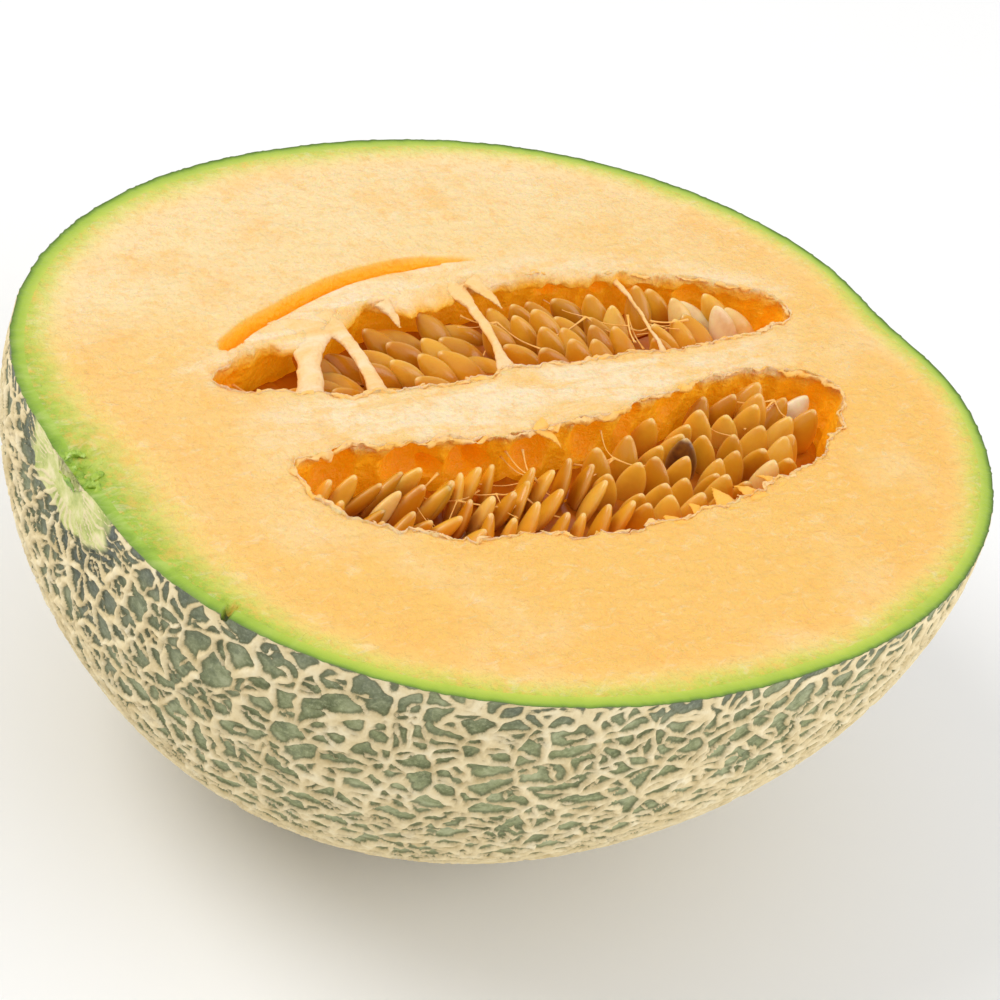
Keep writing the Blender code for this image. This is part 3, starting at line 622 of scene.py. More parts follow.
def makeRind():
    rows, columns = ((320, 1440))
    azimuth = np.arange(columns) * 2.0 * math.pi / columns
    level = np.zeros(columns)
    for _ in range(3):
        rim = ballPoints(level, azimuth)
        pressed = dimple(rim, melon["stemEnd"]) + dimple(rim, melon["blossomEnd"])
        level = np.arcsin(melon["centreDrop"] / (melon["halfDepth"] - pressed))
    down = np.linspace(0.0, 1.0, rows)[:, None]
    elevation = level[None, :] * (1 - down) + lowest * down
    turn = np.broadcast_to(azimuth[None, :], elevation.shape)
    directions = ballPoints(elevation, turn).reshape(-1, 3)
    ball = directions * net["radius"]
    field = netField(directions)
    stemAxis = unit(np.array(melon["stemEnd"][0]))
    stemAngle = np.arccos(np.clip(directions @ stemAxis, -1, 1))
    around = np.arctan2(directions[:, 2], directions[:, 1])
    # thin ribs run out from the stem and turn into the net's long cells
    middleAcross, scarWide, scarDeep = net["scar"]
    across, drop = ball[:, 1] - middleAcross, ball[:, 2]
    scarShare = np.hypot(across / scarWide, drop / scarDeep)
    scarShare = np.where(ball[:, 0] < 0, scarShare, 9.0)
    scarShare = scarShare + 0.16 * softNoise(ball, 4.0, 65) + 0.07 * softNoise(ball, 1.6, 66)
    around = np.arctan2(drop * scarWide / scarDeep, across)
    wander = softNoise(ball, 7.0, 61) * 0.04 + softNoise(ball, 2.5, 62) * 0.02
    ribTurn = (around / (2.0 * math.pi) + wander) * net["ribs"]
    ribSide = abs(ribTurn - np.round(ribTurn)) / net["ribs"] * 2.0 * math.pi * np.hypot(across, drop * 1.3)
    ribWidth = 0.14 + 0.24 * hashed(np.round(ribTurn) % net["ribs"], 3, 1)
    ribs = ribWidth - ribSide + 0.12 * softNoise(ball, 1.2, 63)
    ribReach = 1.45 + 0.5 * softNoise(ball, 8.0, 64)
    ribs = np.where((scarShare > 0.45) & (scarShare < ribReach), ribs, -1.0)
    ribs = np.where((scarShare > 1.15) & (hashed(np.round(ribTurn) % net["ribs"], 7, 2) < 0.35), -1.0, ribs)
    scar = smoothStep(1.06, 0.94, scarShare)
    inScar = smoothStep(1.2, 1.08, scarShare)
    field = np.maximum(field * (1 - inScar) - 0.6 * inScar, ribs)
    below = cutHeight - melonPoint(directions, 0.0)[:, 2]
    calm = smoothStep(0.0, net["calmDepth"], below)
    ridge = smoothStep(-0.2, 0.4, field)
    bottom = smoothStep(0.22, 0.32, np.arccos(np.clip(-directions[:, 2], -1, 1)))
    ridge = 0.72 * (1 - calm) + ridge * calm + 0.25 * (1 - calm) * (ridge - 0.72)
    relief = net["height"] * ridge * (0.35 + 0.65 * bottom)
    relief = relief * (1 - 0.5 * scar) + scar * 0.3
    relief += 0.05 * softNoise(ball, 0.9, 71) * ridge + 0.06 * softNoise(ball, 3.0, 72)
    inset = net["crestInset"] + net["height"] - relief
    outer = melonPoint(directions, inset)
    outer[:, 2] = np.maximum(outer[:, 2], 0.0)
    outer[:columns, 2] = cutHeight
    rimPoints = outer[:columns].copy()
    outer[:columns, 2] -= cutDips(rimPoints)[0]
    outer[columns:2 * columns, 2] = np.minimum(outer[columns:2 * columns, 2], outer[:columns, 2] - 0.05)
    rimStem = np.exp(-((np.hypot(outer[:columns, 0] + 80.0, outer[:columns, 1] + 3.0) / 33.0) ** 2))
    belowShare = np.exp(-((cutHeight - outer[:, 2]) / 5.0) ** 2)
    stemShare = np.exp(-((stemAngle / 0.40) ** 2)) * (0.85 + 0.4 * softNoise(ball, 9.0, 75))
    stemShare = np.clip(stemShare + belowShare * (0.4 + 0.4 * softNoise(ball, 7.0, 77)), 0, 1)
    lowShare = smoothStep(52.0, 18.0, outer[:, 2] - 0.25 * outer[:, 0] + 7 * softNoise(ball, 14.0, 76))
    values = {
        "net": [field], "scar": [scar], "stemShare": [stemShare], "lowShare": [lowShare],
        "fromSkin": [np.zeros(len(outer))], "torn": [np.zeros(len(outer))], "nick": [np.zeros(len(outer))],
    }
    # cut rim: rings from the skin's edge to where the flesh begins
    rings = [0.0, 0.25, 0.6, 1.1, 1.8, 2.5]
    fleshEdge = melonPoint(directions[:columns], np.full(columns, rings[-1]))
    points = [outer]
    for ring in rings:
        share = ring / rings[-1]
        band = rimPoints * (1 - share) + fleshEdge * share
        band[:, 2] = cutHeight
        drops, torn, nick = cutDips(band)
        band[:, 2] -= drops + 0.08 * (ring > 0.0) * (1.0 + softNoise(band, 2.0, 79)) * (ring < 2.5)
        points.append(band)
        filled = {
            "fromSkin": ring, "stemShare": rimStem, "net": -1.0, "scar": 0.0, "lowShare": 0.0,
            "torn": smoothStep(0.25, 0.7, torn), "nick": nick,
        }
        for key in values:
            values[key].append(np.broadcast_to(filled[key], (columns,)))
    # inner side, which the flesh fills, with its own copy of the last ring
    points.append(points[-1])
    points.append(innerShell(level, azimuth, innerRows, rings[-1]))
    for key in values:
        values[key].append(np.zeros(columns * (innerRows + 1)))
    fleshEdge = points[-2]
    points = np.concatenate(points)
    faces = gridFaces(rows, columns, 0, flip=True)
    outerCount = len(faces)
    base = rows * columns
    faces += gridFaces(len(rings), columns, base)
    faces += gridFaces(innerRows + 1, columns, base + len(rings) * columns)
    rind = addPiece(
        "nettedRind", points, faces, ["rind"], [skinMaterial, rimMaterial],
        {key: np.concatenate(value) for key, value in values.items()},
    )
    slots = np.zeros(len(rind.data.polygons), np.int32)
    slots[outerCount:] = 1
    rind.data.polygons.foreach_set("material_index", slots)
    return fleshEdge, level, azimuth


fleshRim, rimLevel, rimAzimuth = makeRind()
report("netted rind")


# seed chambers: the same outlines as the solid model's
chambers = {
    "far": {
        "corners": [
            (-48.5, 11.0), (-34.0, 6.5), (-18.0, 4.5), (0.0, 5.5), (16.0, 4.0), (34.0, 2.8), (50.0, 3.5),
            (61.0, 5.0), (61.5, 12.0), (52.0, 19.0), (37.0, 24.0), (21.0, 27.5), (6.0, 29.5), (-8.0, 29.0),
            (-20.0, 26.0), (-31.0, 22.2), (-41.0, 19.3), (-47.5, 16.5),
        ],
        "seed": 5,
        "bedDepth": 7.8,
    },
    "near": {
        "corners": [
            (-48.8, -13.5), (-43.8, -21.0), (-34.0, -27.5), (-20.0, -31.3), (-6.0, -34.3), (10.0, -34.8),
            (26.0, -32.5), (40.0, -29.0), (51.0, -21.5), (57.0, -13.5), (53.0, -8.2), (41.0, -5.5),
            (27.0, -7.0), (12.0, -9.0), (-4.0, -9.2), (-20.0, -8.0), (-36.0, -5.5), (-46.0, -7.2),
        ],
        "seed": 8,
        "bedDepth": 8.8,
    },
    "depth": 25.0,
    # share of depth, share of size
    "rings": [(0.0, 1.0), (0.28, 1.0), (0.55, 0.95), (0.8, 0.78), (1.0, 0.45)],
    "stepsPerSpan": 2,
    "ragged": 0.45,
}


def curveThrough(points, steps, closed=True):
    # a smooth curve through a few points
    points = [Vector(q) for q in points]
    count = len(points)
    found = []
    for i in range(count if closed else count - 1):
        around = [i - 1, i, i + 1, i + 2]
        around = [k % count if closed else min(max(k, 0), count - 1) for k in around]
        before, start, end, after = (points[k] for k in around)
        handleOut = start + (end - before) / 6.0
        handleIn = end - (after - start) / 6.0
        found += interpolate_bezier(start, handleOut, handleIn, end, steps + 1)[:-1]
    return found if closed else found + [points[-1]]


def smoothOutline(corners, seed):
    # a smooth closed curve through the corners, each point moved a little
    draw = random.Random(seed)
    found = curveThrough([(x, y, 0.0) for x, y in corners], chambers["stepsPerSpan"])
    return [p + Vector((draw.uniform(-1, 1), draw.uniform(-1, 1), 0.0)) * chambers["ragged"] for p in found]


def denseOutline(points, step):
    # the outline resampled evenly through its points, as a numpy loop
    curve = np.array(curveThrough(points, 12))
    gaps = np.linalg.norm(np.roll(curve, -1, 0) - curve, axis=1)
    along = np.concatenate([[0.0], np.cumsum(gaps)])
    count = int(along[-1] / step)
    wanted = np.arange(count) * along[-1] / count
    loop = np.vstack([curve, curve[:1]])
    return np.stack([np.interp(wanted, along, loop[:, k]) for k in range(3)], axis=1)


def loopNormals(loop):
    # unit normals in the cut face, pointing into the chamber of an anticlockwise loop
    along = unit(np.roll(loop, -1, 0) - np.roll(loop, 1, 0))
    return np.stack([-along[:, 1], along[:, 0], np.zeros(len(loop))], axis=1)


def smoothLoop(values, times):
    for _ in range(times):
        values = (np.roll(values, 1, 0) + values * 2.0 + np.roll(values, -1, 0)) / 4.0
    return values


def sizeAt(share):
    rings = chambers["rings"]
    return np.interp(share, [r[0] for r in rings], [r[1] for r in rings])


def shrunkLoop(loop, share, reference):
    left, right = reference[:, 0].min(), reference[:, 0].max()
    middleY = reference[:, 1].mean()
    half = (right - left) / 2.0
    spine = np.zeros((len(loop), 3))
    spine[:, 0] = np.clip(loop[:, 0], left + half * 0.35, right - half * 0.35)
    spine[:, 1] = middleY
    return spine + (loop - spine) * share


walls = {
    # depth, half width, half height and how deep, from least to most
    "upperColumns": [(4.5, 7.0), (1.5, 2.3), (4.0, 6.0), (0.5, 1.3)],
    "lowerColumns": [(11.0, 15.0), (1.8, 2.8), (2.5, 4.5), (0.6, 1.6)],
    "step": 0.34,             # between points along an outline
    "rows": 76,
    "raggedFine": 0.65,       # how far the cut edge wanders
    "raggedWide": 1.0,
    "peaks": 0.9,             # little torn points on the near rim
    # how far the pale pulp stands out from the far wall, along it
    "shelf": [
        (-49, 0.2), (-45, 0.4), (-40, 0.5), (-35, 0.9), (-31, 3.6), (-26.5, 2.4), (-22.5, 0.8), (-18.5, 2.8), (-13.5, 0.8),
        (-9.5, 3.2), (-5, 5.2), (0, 4.8), (4, 4.2), (8, 2.0), (12, 3.0), (17, 1.8), (26, 1.6), (36, 1.2), (50, 0.8), (60, 0.3),
    ],
    "shelfLip": 2.7,          # depth of its torn edge
    "columnSpacing": 4.6,
}
# hollows in a wall: (x along it, depth, half width, half height, how deep)
hollows = {
    "far": [
        (-44.0, 5.5, 3.0, 2.6, 2.0), (24.5, 3.6, 2.2, 1.9, 2.6), (33.5, 3.4, 2.0, 1.7, 2.4), (42.0, 4.0, 2.6, 2.4, 2.0),
        (50.5, 3.6, 2.4, 2.2, 1.8),
    ],
    "near": [
        (-38.5, 5.0, 4.2, 4.6, 3.2), (-25.5, 4.6, 5.0, 4.4, 4.4), (-21.2, 6.4, 1.6, 1.7, 7.0), (-15.0, 5.0, 3.8, 4.0, 4.4),
        (-12.2, 6.6, 1.6, 1.9, 7.2), (-3.0, 5.4, 4.0, 4.4, 4.0), (8.0, 4.6, 3.2, 4.4, 3.4), (17.0, 4.4, 2.8, 4.0, 2.8),
        (27.0, 4.0, 3.0, 3.6, 2.4),
    ],
}


def makeWall(kind):
    # the chamber's wall as rings of points from the cut face down
    chamber = chambers[kind]
    draw = random.Random(chamber["seed"] + 100)
    outline = smoothOutline(chamber["corners"], chamber["seed"])
    loop = denseOutline(outline, walls["step"] * (1.0))
    inward = unit(smoothLoop(loopNormals(loop), 12))
    count = len(loop)
    septum = (inward[:, 1] > 0.5) if kind == "far" else (inward[:, 1] < -0.5)
    outerSide = (inward[:, 1] < -0.35) if kind == "far" else (inward[:, 1] > 0.35)
    softening = int(24 / walls["step"] / (1.0)) // 2
    sideShare = smoothLoop(outerSide.astype(float), softening)
    septumShare = smoothLoop(septum.astype(float), softening)
    gaps = np.linalg.norm(np.roll(loop, -1, 0) - loop, axis=1)
    along = np.concatenate([[0.0], np.cumsum(gaps)[:-1]])
    length = gaps.sum()
    ragged = walls["raggedWide"] * softNoise(loop, 4.2, 21) + walls["raggedFine"] * roughNoise(loop, 1.6, 25, 3)
    if kind == "near":
        peaks = np.clip(0.5 - 1.6 * abs(softNoise(loop, 2.7, 27)), 0, 1)
        peaks = peaks + 0.5 * np.clip(0.4 - abs(softNoise(loop, 1.5, 29)), 0, 1)
        ragged += walls["peaks"] * peaks * 1.6 * sideShare
    holes = []
    facing = np.where(septum if kind == "near" else outerSide)[0]
    for x, low, wide, tall, deep in hollows[kind]:
        at = facing[np.argmin(abs(loop[facing, 0] - x))]
        holes.append((along[at], low, wide, tall, deep))
    place = 0.0
    while place < length:
        # shallow upright columns all the way round
        at = int(np.argmin(abs(along - place)))
        calm = 0.35 if kind == "far" and loop[at, 0] < 14.0 and sideShare[at] > 0.5 else 1.0
        low, wide, tall, deep = (draw.uniform(*span) for span in walls["upperColumns"])
        holes.append((place, low, wide, tall, deep * calm))
        holes.append((place + draw.uniform(-2, 2), *(draw.uniform(*span) for span in walls["lowerColumns"])))
        place += walls["columnSpacing"] * draw.uniform(0.75, 1.3)
    reach = np.interp(loop[:, 0], *zip(*walls["shelf"]))
    reach *= 1.0 + 0.2 * softNoise(loop, 3.4, 53) + 0.16 * softNoise(loop, 1.5, 54)
    reach *= sideShare * (1.0 if kind == "far" else 0.0)
    lip = walls["shelfLip"] * (1.0 + 0.22 * softNoise(loop, 6.0, 55))
    slope = smoothStep(-46.0, -36.0, loop[:, 0]) * smoothStep(17.0, 6.0, loop[:, 0]) * sideShare * (kind == "far")
    rows, depths, pales = [], [], []
    shares = np.linspace(0.0, 1.0, walls["rows"]) ** 1.5
    reference = np.array(outline)
    for share in shares:
        depth = share * chambers["depth"]
        ring = shrunkLoop(loop, sizeAt(share), reference)
        hollow = np.zeros(count)
        for place, low, wide, tall, deep in holes:
            side = abs(along - place)
            side = np.minimum(side, length - side)
            distance = (side / wide) ** 2 + ((depth - low) / tall) ** 2
            hollow = np.maximum(hollow, deep * np.clip(1.0 - distance, 0.0, 1.0) ** 0.6)
        hollow = smoothLoop(hollow, 2)
        edge = ragged * math.exp(-depth / 3.0)
        moved = -hollow * smoothStep(-0.9, 1.2, depth) + edge
        outward = np.clip(depth / lip, 0.0, 1.0)
        shelf = reach * np.sin(outward * math.pi / 2.0) ** 0.9
        shelf -= (reach + 0.6 * (reach > 1)) * smoothStep(0.0, 1.7, depth - lip)
        moved = moved + shelf
        volume = np.column_stack([ring[:, :2], np.full(count, -depth)])
        moved = moved + 0.26 * roughNoise(volume, 2.4, 33, 3) * smoothStep(0.0, 1.0, depth + 0.3)
        ring = ring + inward * moved[:, None]
        ring[:, 2] = cutHeight - depth - slope * 0.9 * np.exp(-depth / 2.5)
        if share > 0:
            ring[:, 2] += 0.22 * roughNoise(volume + 40.0, 2.0, 35, 2) * min(depth, 1.0)
        ring[:, :2] += middle[:2]
        ring[:, 2] = np.minimum(ring[:, 2], cutHeight)
        rows.append(ring)
        shade = 1.0 - 0.6 * septumShare * smoothStep(2.6, 0.4, depth)
        # painted shade: the hollows are given extra depth, so the flesh ramp paints them darker orange and the painted
        # glow grows there
        depths.append((depth + 1.1 * hollow * min(depth, 1.0)) * shade)
        pales.append(smoothStep(0.5, 3.0, reach) * smoothStep(-0.2, -1.7, depth - lip))
    rows, depths, pales = np.array(rows), np.array(depths), np.array(pales)
    return {"rows": rows, "depths": depths, "pale": pales, "inward": inward, "slope": slope}


def insideLoop(points, loop):
    # which points lie inside a closed loop in the cut face
    x, y = points[:, 0][:, None], points[:, 1][:, None]
    x0, y0 = loop[:, 0][None, :], loop[:, 1][None, :]
    x1, y1 = np.roll(loop[:, 0], -1)[None, :], np.roll(loop[:, 1], -1)[None, :]
    crosses = (y0 > y) != (y1 > y)
    at = x0 + (y - y0) / np.where(y1 == y0, 1e-9, y1 - y0) * (x1 - x0)
    return (crosses & (at > x)).sum(1) % 2 == 1


def loopDistance(points, loop, stride=4):
    coarse = loop[::stride]
    found = np.full(len(points), 1e9)
    for start in range(0, len(points), 4000):
        part = points[start:start + 4000]
        found[start:start + 4000] = np.sqrt(((part[:, None, :2] - coarse[None, :, :2]) ** 2).sum(-1)).min(1)
    return found


face = {
    "spacing": 1.0,       # between points of the cut face, in millimetres
    "shellInset": 2.52,   # of its outside, under the skin
    "sag": 0.35,          # how far the flesh droops at a chamber's torn edge
    "edgeSkin": 9.0,      # the outer part that lets no light through
    "rings": (0.35, 0.8, 1.4, 2.1),  # of points round each chamber
    "ringsReach": 2.6,
}
slit = {
    "rows": (-1.7, -1.37, -1.25, -0.9, -0.5, 0.0, 0.5, 0.95, 1.33, 1.7),  # of points beside its line
    "rowsReach": 2.1,
    "path": [
        (-45.0, 20.8), (-37.0, 25.6), (-30.0, 28.4), (-22.5, 31.2),
        (-14.5, 33.7), (-5.0, 35.0), (5.0, 34.8), (16.0, 33.2),
    ],
    "halfWidth": 1.35,
    "depth": 3.8,
    "stripDrop": 0.9,     # of the loose pulp between the slit and the chamber
}


def slitPlace(points):
    # distance to the slit's line, which side of it, and how far along
    corners = np.array(slit["path"]) + middle[:2]
    fine = []
    for i in range(len(corners) - 1):
        start, end = corners[i], corners[i + 1]
        before, after = corners[max(i - 1, 0)], corners[min(i + 2, len(corners) - 1)]
        handles = start + (end - before) / 6.0, end - (after - start) / 6.0
        fine += interpolate_bezier(*(Vector((*q, 0.0)) for q in (start, *handles, end)), 14)[:-1]
    line = np.array(fine)[:, :2]
    distance = np.full(len(points), 1e9)
    side = np.zeros(len(points))
    share = np.zeros(len(points))
    normals = unit(np.gradient(line, axis=0))[:, ::-1] * np.array((-1.0, 1.0))
    for begin in range(0, len(points), 4000):
        part = points[begin:begin + 4000, :2]
        away = part[:, None] - line[None]
        near = np.linalg.norm(away, axis=2)
        best = near.argmin(1)
        distance[begin:begin + 4000] = near.min(1)
        side[begin:begin + 4000] = (away[np.arange(len(part)), best] * normals[best]).sum(1)
        share[begin:begin + 4000] = best / (len(line) - 1)
    return distance, side, share, line, normals


def makeFleshBody():
    wallsMade = {kind: makeWall(kind) for kind in ("far", "near")}
    spacing = face["spacing"] * 1.0
    xs = np.arange(-82.0, 82.0, spacing)
    ys = np.arange(-72.0, 72.0, spacing * 0.87)
    gx, gy = np.meshgrid(xs, ys)
    gx = gx + (np.arange(len(ys)) % 2)[:, None] * spacing * 0.5
    grid = np.column_stack([gx.ravel(), gy.ravel()])
    flat = np.column_stack([grid, grid[:, :1] * 0])
    grid += np.column_stack([softNoise(flat, 0.7, 81), softNoise(flat, 0.7, 82)]) * 0.2
    rimLoop = fleshRim[:, :2]
    keep = insideLoop(grid, rimLoop) & (loopDistance(grid, rimLoop, 2) > 0.5)
    extra = []
    for kind in ("far", "near"):
        loop = wallsMade[kind]["rows"][0][:, :2]
        inward = wallsMade[kind]["inward"][:, :2]
        keep &= ~insideLoop(grid, loop) & (loopDistance(grid, loop, 2) > face["ringsReach"])
        for number, away in enumerate(face["rings"]):
            part = slice(number % 2, None, 2 if away > 0.5 else 1)
            extra.append(loop[part] - inward[part] * away)
    extra = np.vstack(extra)
    slitLine, slitNormals = slitPlace(grid[:1])[3:]
    keep &= slitPlace(grid)[0] > slit["rowsReach"]
    for away in slit["rows"]:
        extra = np.vstack([extra, slitLine + slitNormals * away])
    for kind in ("far", "near"):
        loop = wallsMade[kind]["rows"][0][:, :2]
        extra = extra[~insideLoop(extra, loop) & (loopDistance(extra, loop, 1) > 0.24)]
    grid = np.vstack([grid[keep], extra])
    loops = [rimLoop, wallsMade["far"]["rows"][0][:, :2], wallsMade["near"]["rows"][0][:, :2]]
    flat = np.vstack(loops + [grid])
    edges = []
    start = 0
    for loop in loops:
        edges += [(start + i, start + (i + 1) % len(loop)) for i in range(len(loop))]
        start += len(loop)
    made = delaunay_2d_cdt([Vector(p) for p in flat.tolist()], edges, [], 0, 1e-6)
    places = np.array([tuple(v) for v in made[0]])
    triangles = np.array(made[2])
    centres = places[triangles].mean(1)
    good = insideLoop(centres, rimLoop) & ~insideLoop(centres, loops[1]) & ~insideLoop(centres, loops[2])
    triangles = triangles[good]
    # points keep their order, unless the triangulation joined some
    order = [source[0] if source else -1 for source in made[3]]
    topPoints = np.column_stack([places, np.full(len(places), cutHeight)])
    indexOf = {}
    for new, old in enumerate(order):
        if old >= 0:
            indexOf[old] = new
    farDistance = loopDistance(places, loops[1], 1)
    edgeDistance = np.minimum(farDistance, loopDistance(places, loops[2], 1))
    relief = 0.11 * roughNoise(topPoints, 2.2, 91, 3) + 0.12 * softNoise(topPoints, 11.0, 95)
    torn = np.exp(-edgeDistance / 1.1)
    relief -= face["sag"] * torn * (0.6 + 0.8 * softNoise(topPoints, 2.0, 97))
    rimDistance = loopDistance(places, rimLoop, 1)
    relief = (relief - 0.25) * smoothStep(0.0, 6.0, rimDistance) - cutDips(topPoints)[0]
    slitAway, slitSide, slitShare = slitPlace(places)[:3]
    taper = smoothStep(0.0, 0.06, slitShare) * smoothStep(1.0, 0.75, slitShare)
    # the far side slopes down to the deepest line, under the edge of the loose strip
    half = slit["halfWidth"] * (0.3 + 0.7 * taper)
    slope = np.clip((half - slitSide) / (2.0 * half), 0.0, 1.0) ** 0.75
    groove = slope * (slitSide > -half) * (slitAway < half * 1.02) * taper
    strip = (slitSide < 0) * smoothStep(9.0, 6.0, slitAway) * smoothStep(9.0, 4.0, farDistance)
    strip *= smoothStep(0.0, 0.12, slitShare) * smoothStep(1.0, 0.75, slitShare) * (places[:, 1] > 12.0)
    relief = relief - groove * slit["depth"] - strip * slit["stripDrop"]
    topPoints[:, 2] += np.minimum(relief, 0.0)
    # painted shade: the slit's crease and a line along it are given extra depth, which the flesh ramp paints darker
    # orange and lets glow; the small share on the loose strip only tints it
    slitShadeAndStripTint = groove * 7.5 + 0.5 * strip + 0.9 * taper * np.exp(-((slitAway / 1.6) ** 2))
    values = {
        "fromSkin": [rimDistance + 2.5],
        "depth": [np.maximum(0.55 * np.exp(-edgeDistance / 0.9), slitShadeAndStripTint)],
    }
    stemPlace = np.array([-80.0, -3.0])
    stemAway = np.linalg.norm(places - stemPlace, axis=1)
    values["stemShare"] = [np.exp(-((stemAway / 33.0) ** 2))]
    warm = places[:, 0] * 0.22 - places[:, 1] * 0.85 + 6.0 * softNoise(topPoints, 12.0, 99)
    warm = smoothStep(-46.0, 20.0, warm)
    stemEnd = smoothStep(34.0, 56.0, -places[:, 0] + 0.2 * places[:, 1]) * smoothStep(40.0, 20.0, places[:, 1])
    values["warmShare"] = [np.maximum(warm, 0.75 * stemEnd)]
    septum = smoothStep(9.0, 4.0, abs(places[:, 1] + 2.0 + 0.03 * places[:, 0]))
    septum = septum * smoothStep(58.0, 40.0, abs(places[:, 0] - 2.0))
    values["milky"] = [0.62 * septum + 0.45 * smoothStep(7.0, 1.0, edgeDistance) * (places[:, 1] > 10.0)]
    values["pulp"] = [strip * (1.0 - groove)]
    values["milky"][0] = np.maximum(values["milky"][0], 0.8 * strip)
    points = [topPoints]
    faces = triangles.tolist()
    total = len(topPoints)
    offset = len(loops[0])
    for number, kind in enumerate(("far", "near")):
        rows, depths = wallsMade[kind]["rows"], wallsMade[kind]["depths"]
        rowCount, count = rows.shape[:2]
        first = [indexOf[offset + i] for i in range(count)]
        offset += count
        topPoints[first, 2] = np.minimum(topPoints[first, 2], cutHeight - 0.05 - 0.9 * wallsMade[kind]["slope"])
        wallPoints = rows[1:].reshape(-1, 3)
        points.append(wallPoints)
        quads = []
        for i in range(count):
            j = (i + 1) % count
            quads.append([first[i], first[j], total + j, total + i])
        quads += gridFaces(rowCount - 1, count, total)
        faces += quads
        floorStart = total + (rowCount - 2) * count
        faces.append([floorStart + i for i in range(count)])
        depth = depths[1:].reshape(-1)
        pale = wallsMade[kind]["pale"][1:].reshape(-1)
        for key, filled in fleshValues(len(wallPoints), depth=depth, pulp=pale, warmShare=0.4, milky=0.3).items():
            values[key].append(filled)
        total += len(wallPoints)
    # the outside, against the rind
    under = np.concatenate([fleshRim, innerShell(rimLevel, rimAzimuth, innerRows, face["shellInset"])])
    points.append(under)
    faces += gridFaces(innerRows + 1, len(rimLoop), total, flip=True)
    for key, filled in fleshValues(len(under), depth=20.0, fromSkin=2.5).items():
        values[key].append(filled)
    body = addPiece(
        "fleshBody", np.concatenate(points), faces, ["flesh"], [fleshMaterial, fleshEdgeMaterial],
        {key: np.concatenate(value) for key, value in values.items()}, 52.0,
    )
    skinSide = np.concatenate(values["fromSkin"]) < face["edgeSkin"]
    slots = [1 if skinSide[polygon.vertices[0]] else 0 for polygon in body.data.polygons]
    body.data.polygons.foreach_set("material_index", slots)
    return body, wallsMade


fleshBody, wallsMade = makeFleshBody()
report("flesh with its chambers")


# seeds: the same bundles as the solid model's, with finer seeds
seeds = {
    "length": 10.5,
    "width": 5.0,
    "thickness": 2.4,
    "around": 24,
    "rows": 22,
    "rings": [(0.14, 0.66), (0.5, 1.0), (0.86, 0.66)],   # share of length, share of width
    "wallClearance": 0.4,
    "topClearance": 1.0,
    "strandClearance": 0.3,
    "jitter": 0.6,
    "fan": 0.24,
    "sides": 6,               # of the solid model's plainer seeds, which settle what fits
}
strands = {
    "ends": [
        ((-26.5, 25.2), (-37.0, 4.5)), ((-22.0, 26.8), (-24.5, 2.6)),
        ((5.0, 31.5), (0.5, 3.0)), ((36.5, 26.0), (32.0, 0.5)),
    ],
    "sag": [1.0, 1.5, 1.8, 1.5],
    "radius": [1.7, 1.1, 1.1, 0.9],
    "topDepth": 1.3,
    "flare": 0.4,
    "steps": 7,
}
backward = {"tips": (-0.42, 0.5, 0.55), "face": (-0.574, -0.563, 0.595), "sunk": 2.4}
flatter = {"tips": (-0.6, 0.42, 0.36), "face": (-0.574, -0.563, 0.595), "sunk": 2.3}
rising = {"tips": (-0.22, 0.42, 0.75), "face": (-0.574, -0.563, 0.595), "sunk": 3.2}
fanned = {"tips": (0.45, -0.15, 0.85), "face": (0.3, -0.92, 0.2), "sunk": 3.0}
onEdge = {"tips": (0.12, 0.0, 1.0), "face": (0.78, -0.62, 0.05), "sunk": 3.2}
upright = {"tips": (0.02, 0.08, 1.0), "face": (-0.62, -0.7, 0.3), "sunk": 3.6}
outward = {"tips": (0.32, 0.05, 0.9), "face": (-0.5, -0.75, 0.4), "sunk": 3.2}
bundles = {
    "far": [
        {"middle": (-42.0, 14.5), "grid": (3, 2), "pitch": (4.4, 4.6), **backward},
        {"middle": (-27.5, 14.5), "grid": (3, 3), "pitch": (3.6, 4.6), **flatter},
        {"middle": (-7.5, 15.5), "grid": (5, 4), "pitch": (5.6, 4.6), **flatter},
        {"middle": (17.5, 14.5), "grid": (4, 4), "pitch": (4.8, 4.6), **backward},
        {"middle": (36.0, 12.5), "grid": (4, 4), "pitch": (4.6, 4.2), **rising},
        {"middle": (53.5, 10.5), "grid": (4, 3), "pitch": (4.6, 4.0), **backward},
    ],
    "near": [
        {"middle": (-43.0, -11.8), "grid": (2, 2), "pitch": (3.4, 4.6), **onEdge},
        {"middle": (-33.5, -15.2), "grid": (4, 3), "pitch": (3.9, 4.6), **fanned},
        {"middle": (-19.5, -19.8), "grid": (4, 3), "pitch": (3.6, 5.0), **onEdge},
        {"middle": (-4.0, -22.6), "grid": (4, 3), "pitch": (4.2, 5.0), **onEdge},
        {"middle": (12.5, -20.4), "grid": (4, 5), "pitch": (5.0, 4.8), **upright},
        {"middle": (30.5, -17.9), "grid": (4, 5), "pitch": (5.0, 4.6), **upright},
        {"middle": (46.5, -15.0), "grid": (3, 4), "pitch": (5.0, 4.6), **outward},
    ],
}


# seeds of another colour: where each lies, and its tone
oddSeeds = {
    "near": [((22.0, -20.3), 0.03), ((54.0, -16.5), 1.0), ((31.0, -26.0), 0.9), ((-36.0, -16.0), 0.88)],
    "far": [((47.0, 12.5), 0.93), ((52.0, 11.0), 0.97), ((57.0, 9.5), 0.92), ((42.0, 15.0), 0.9), ((50.0, 15.0), 0.95)],
}


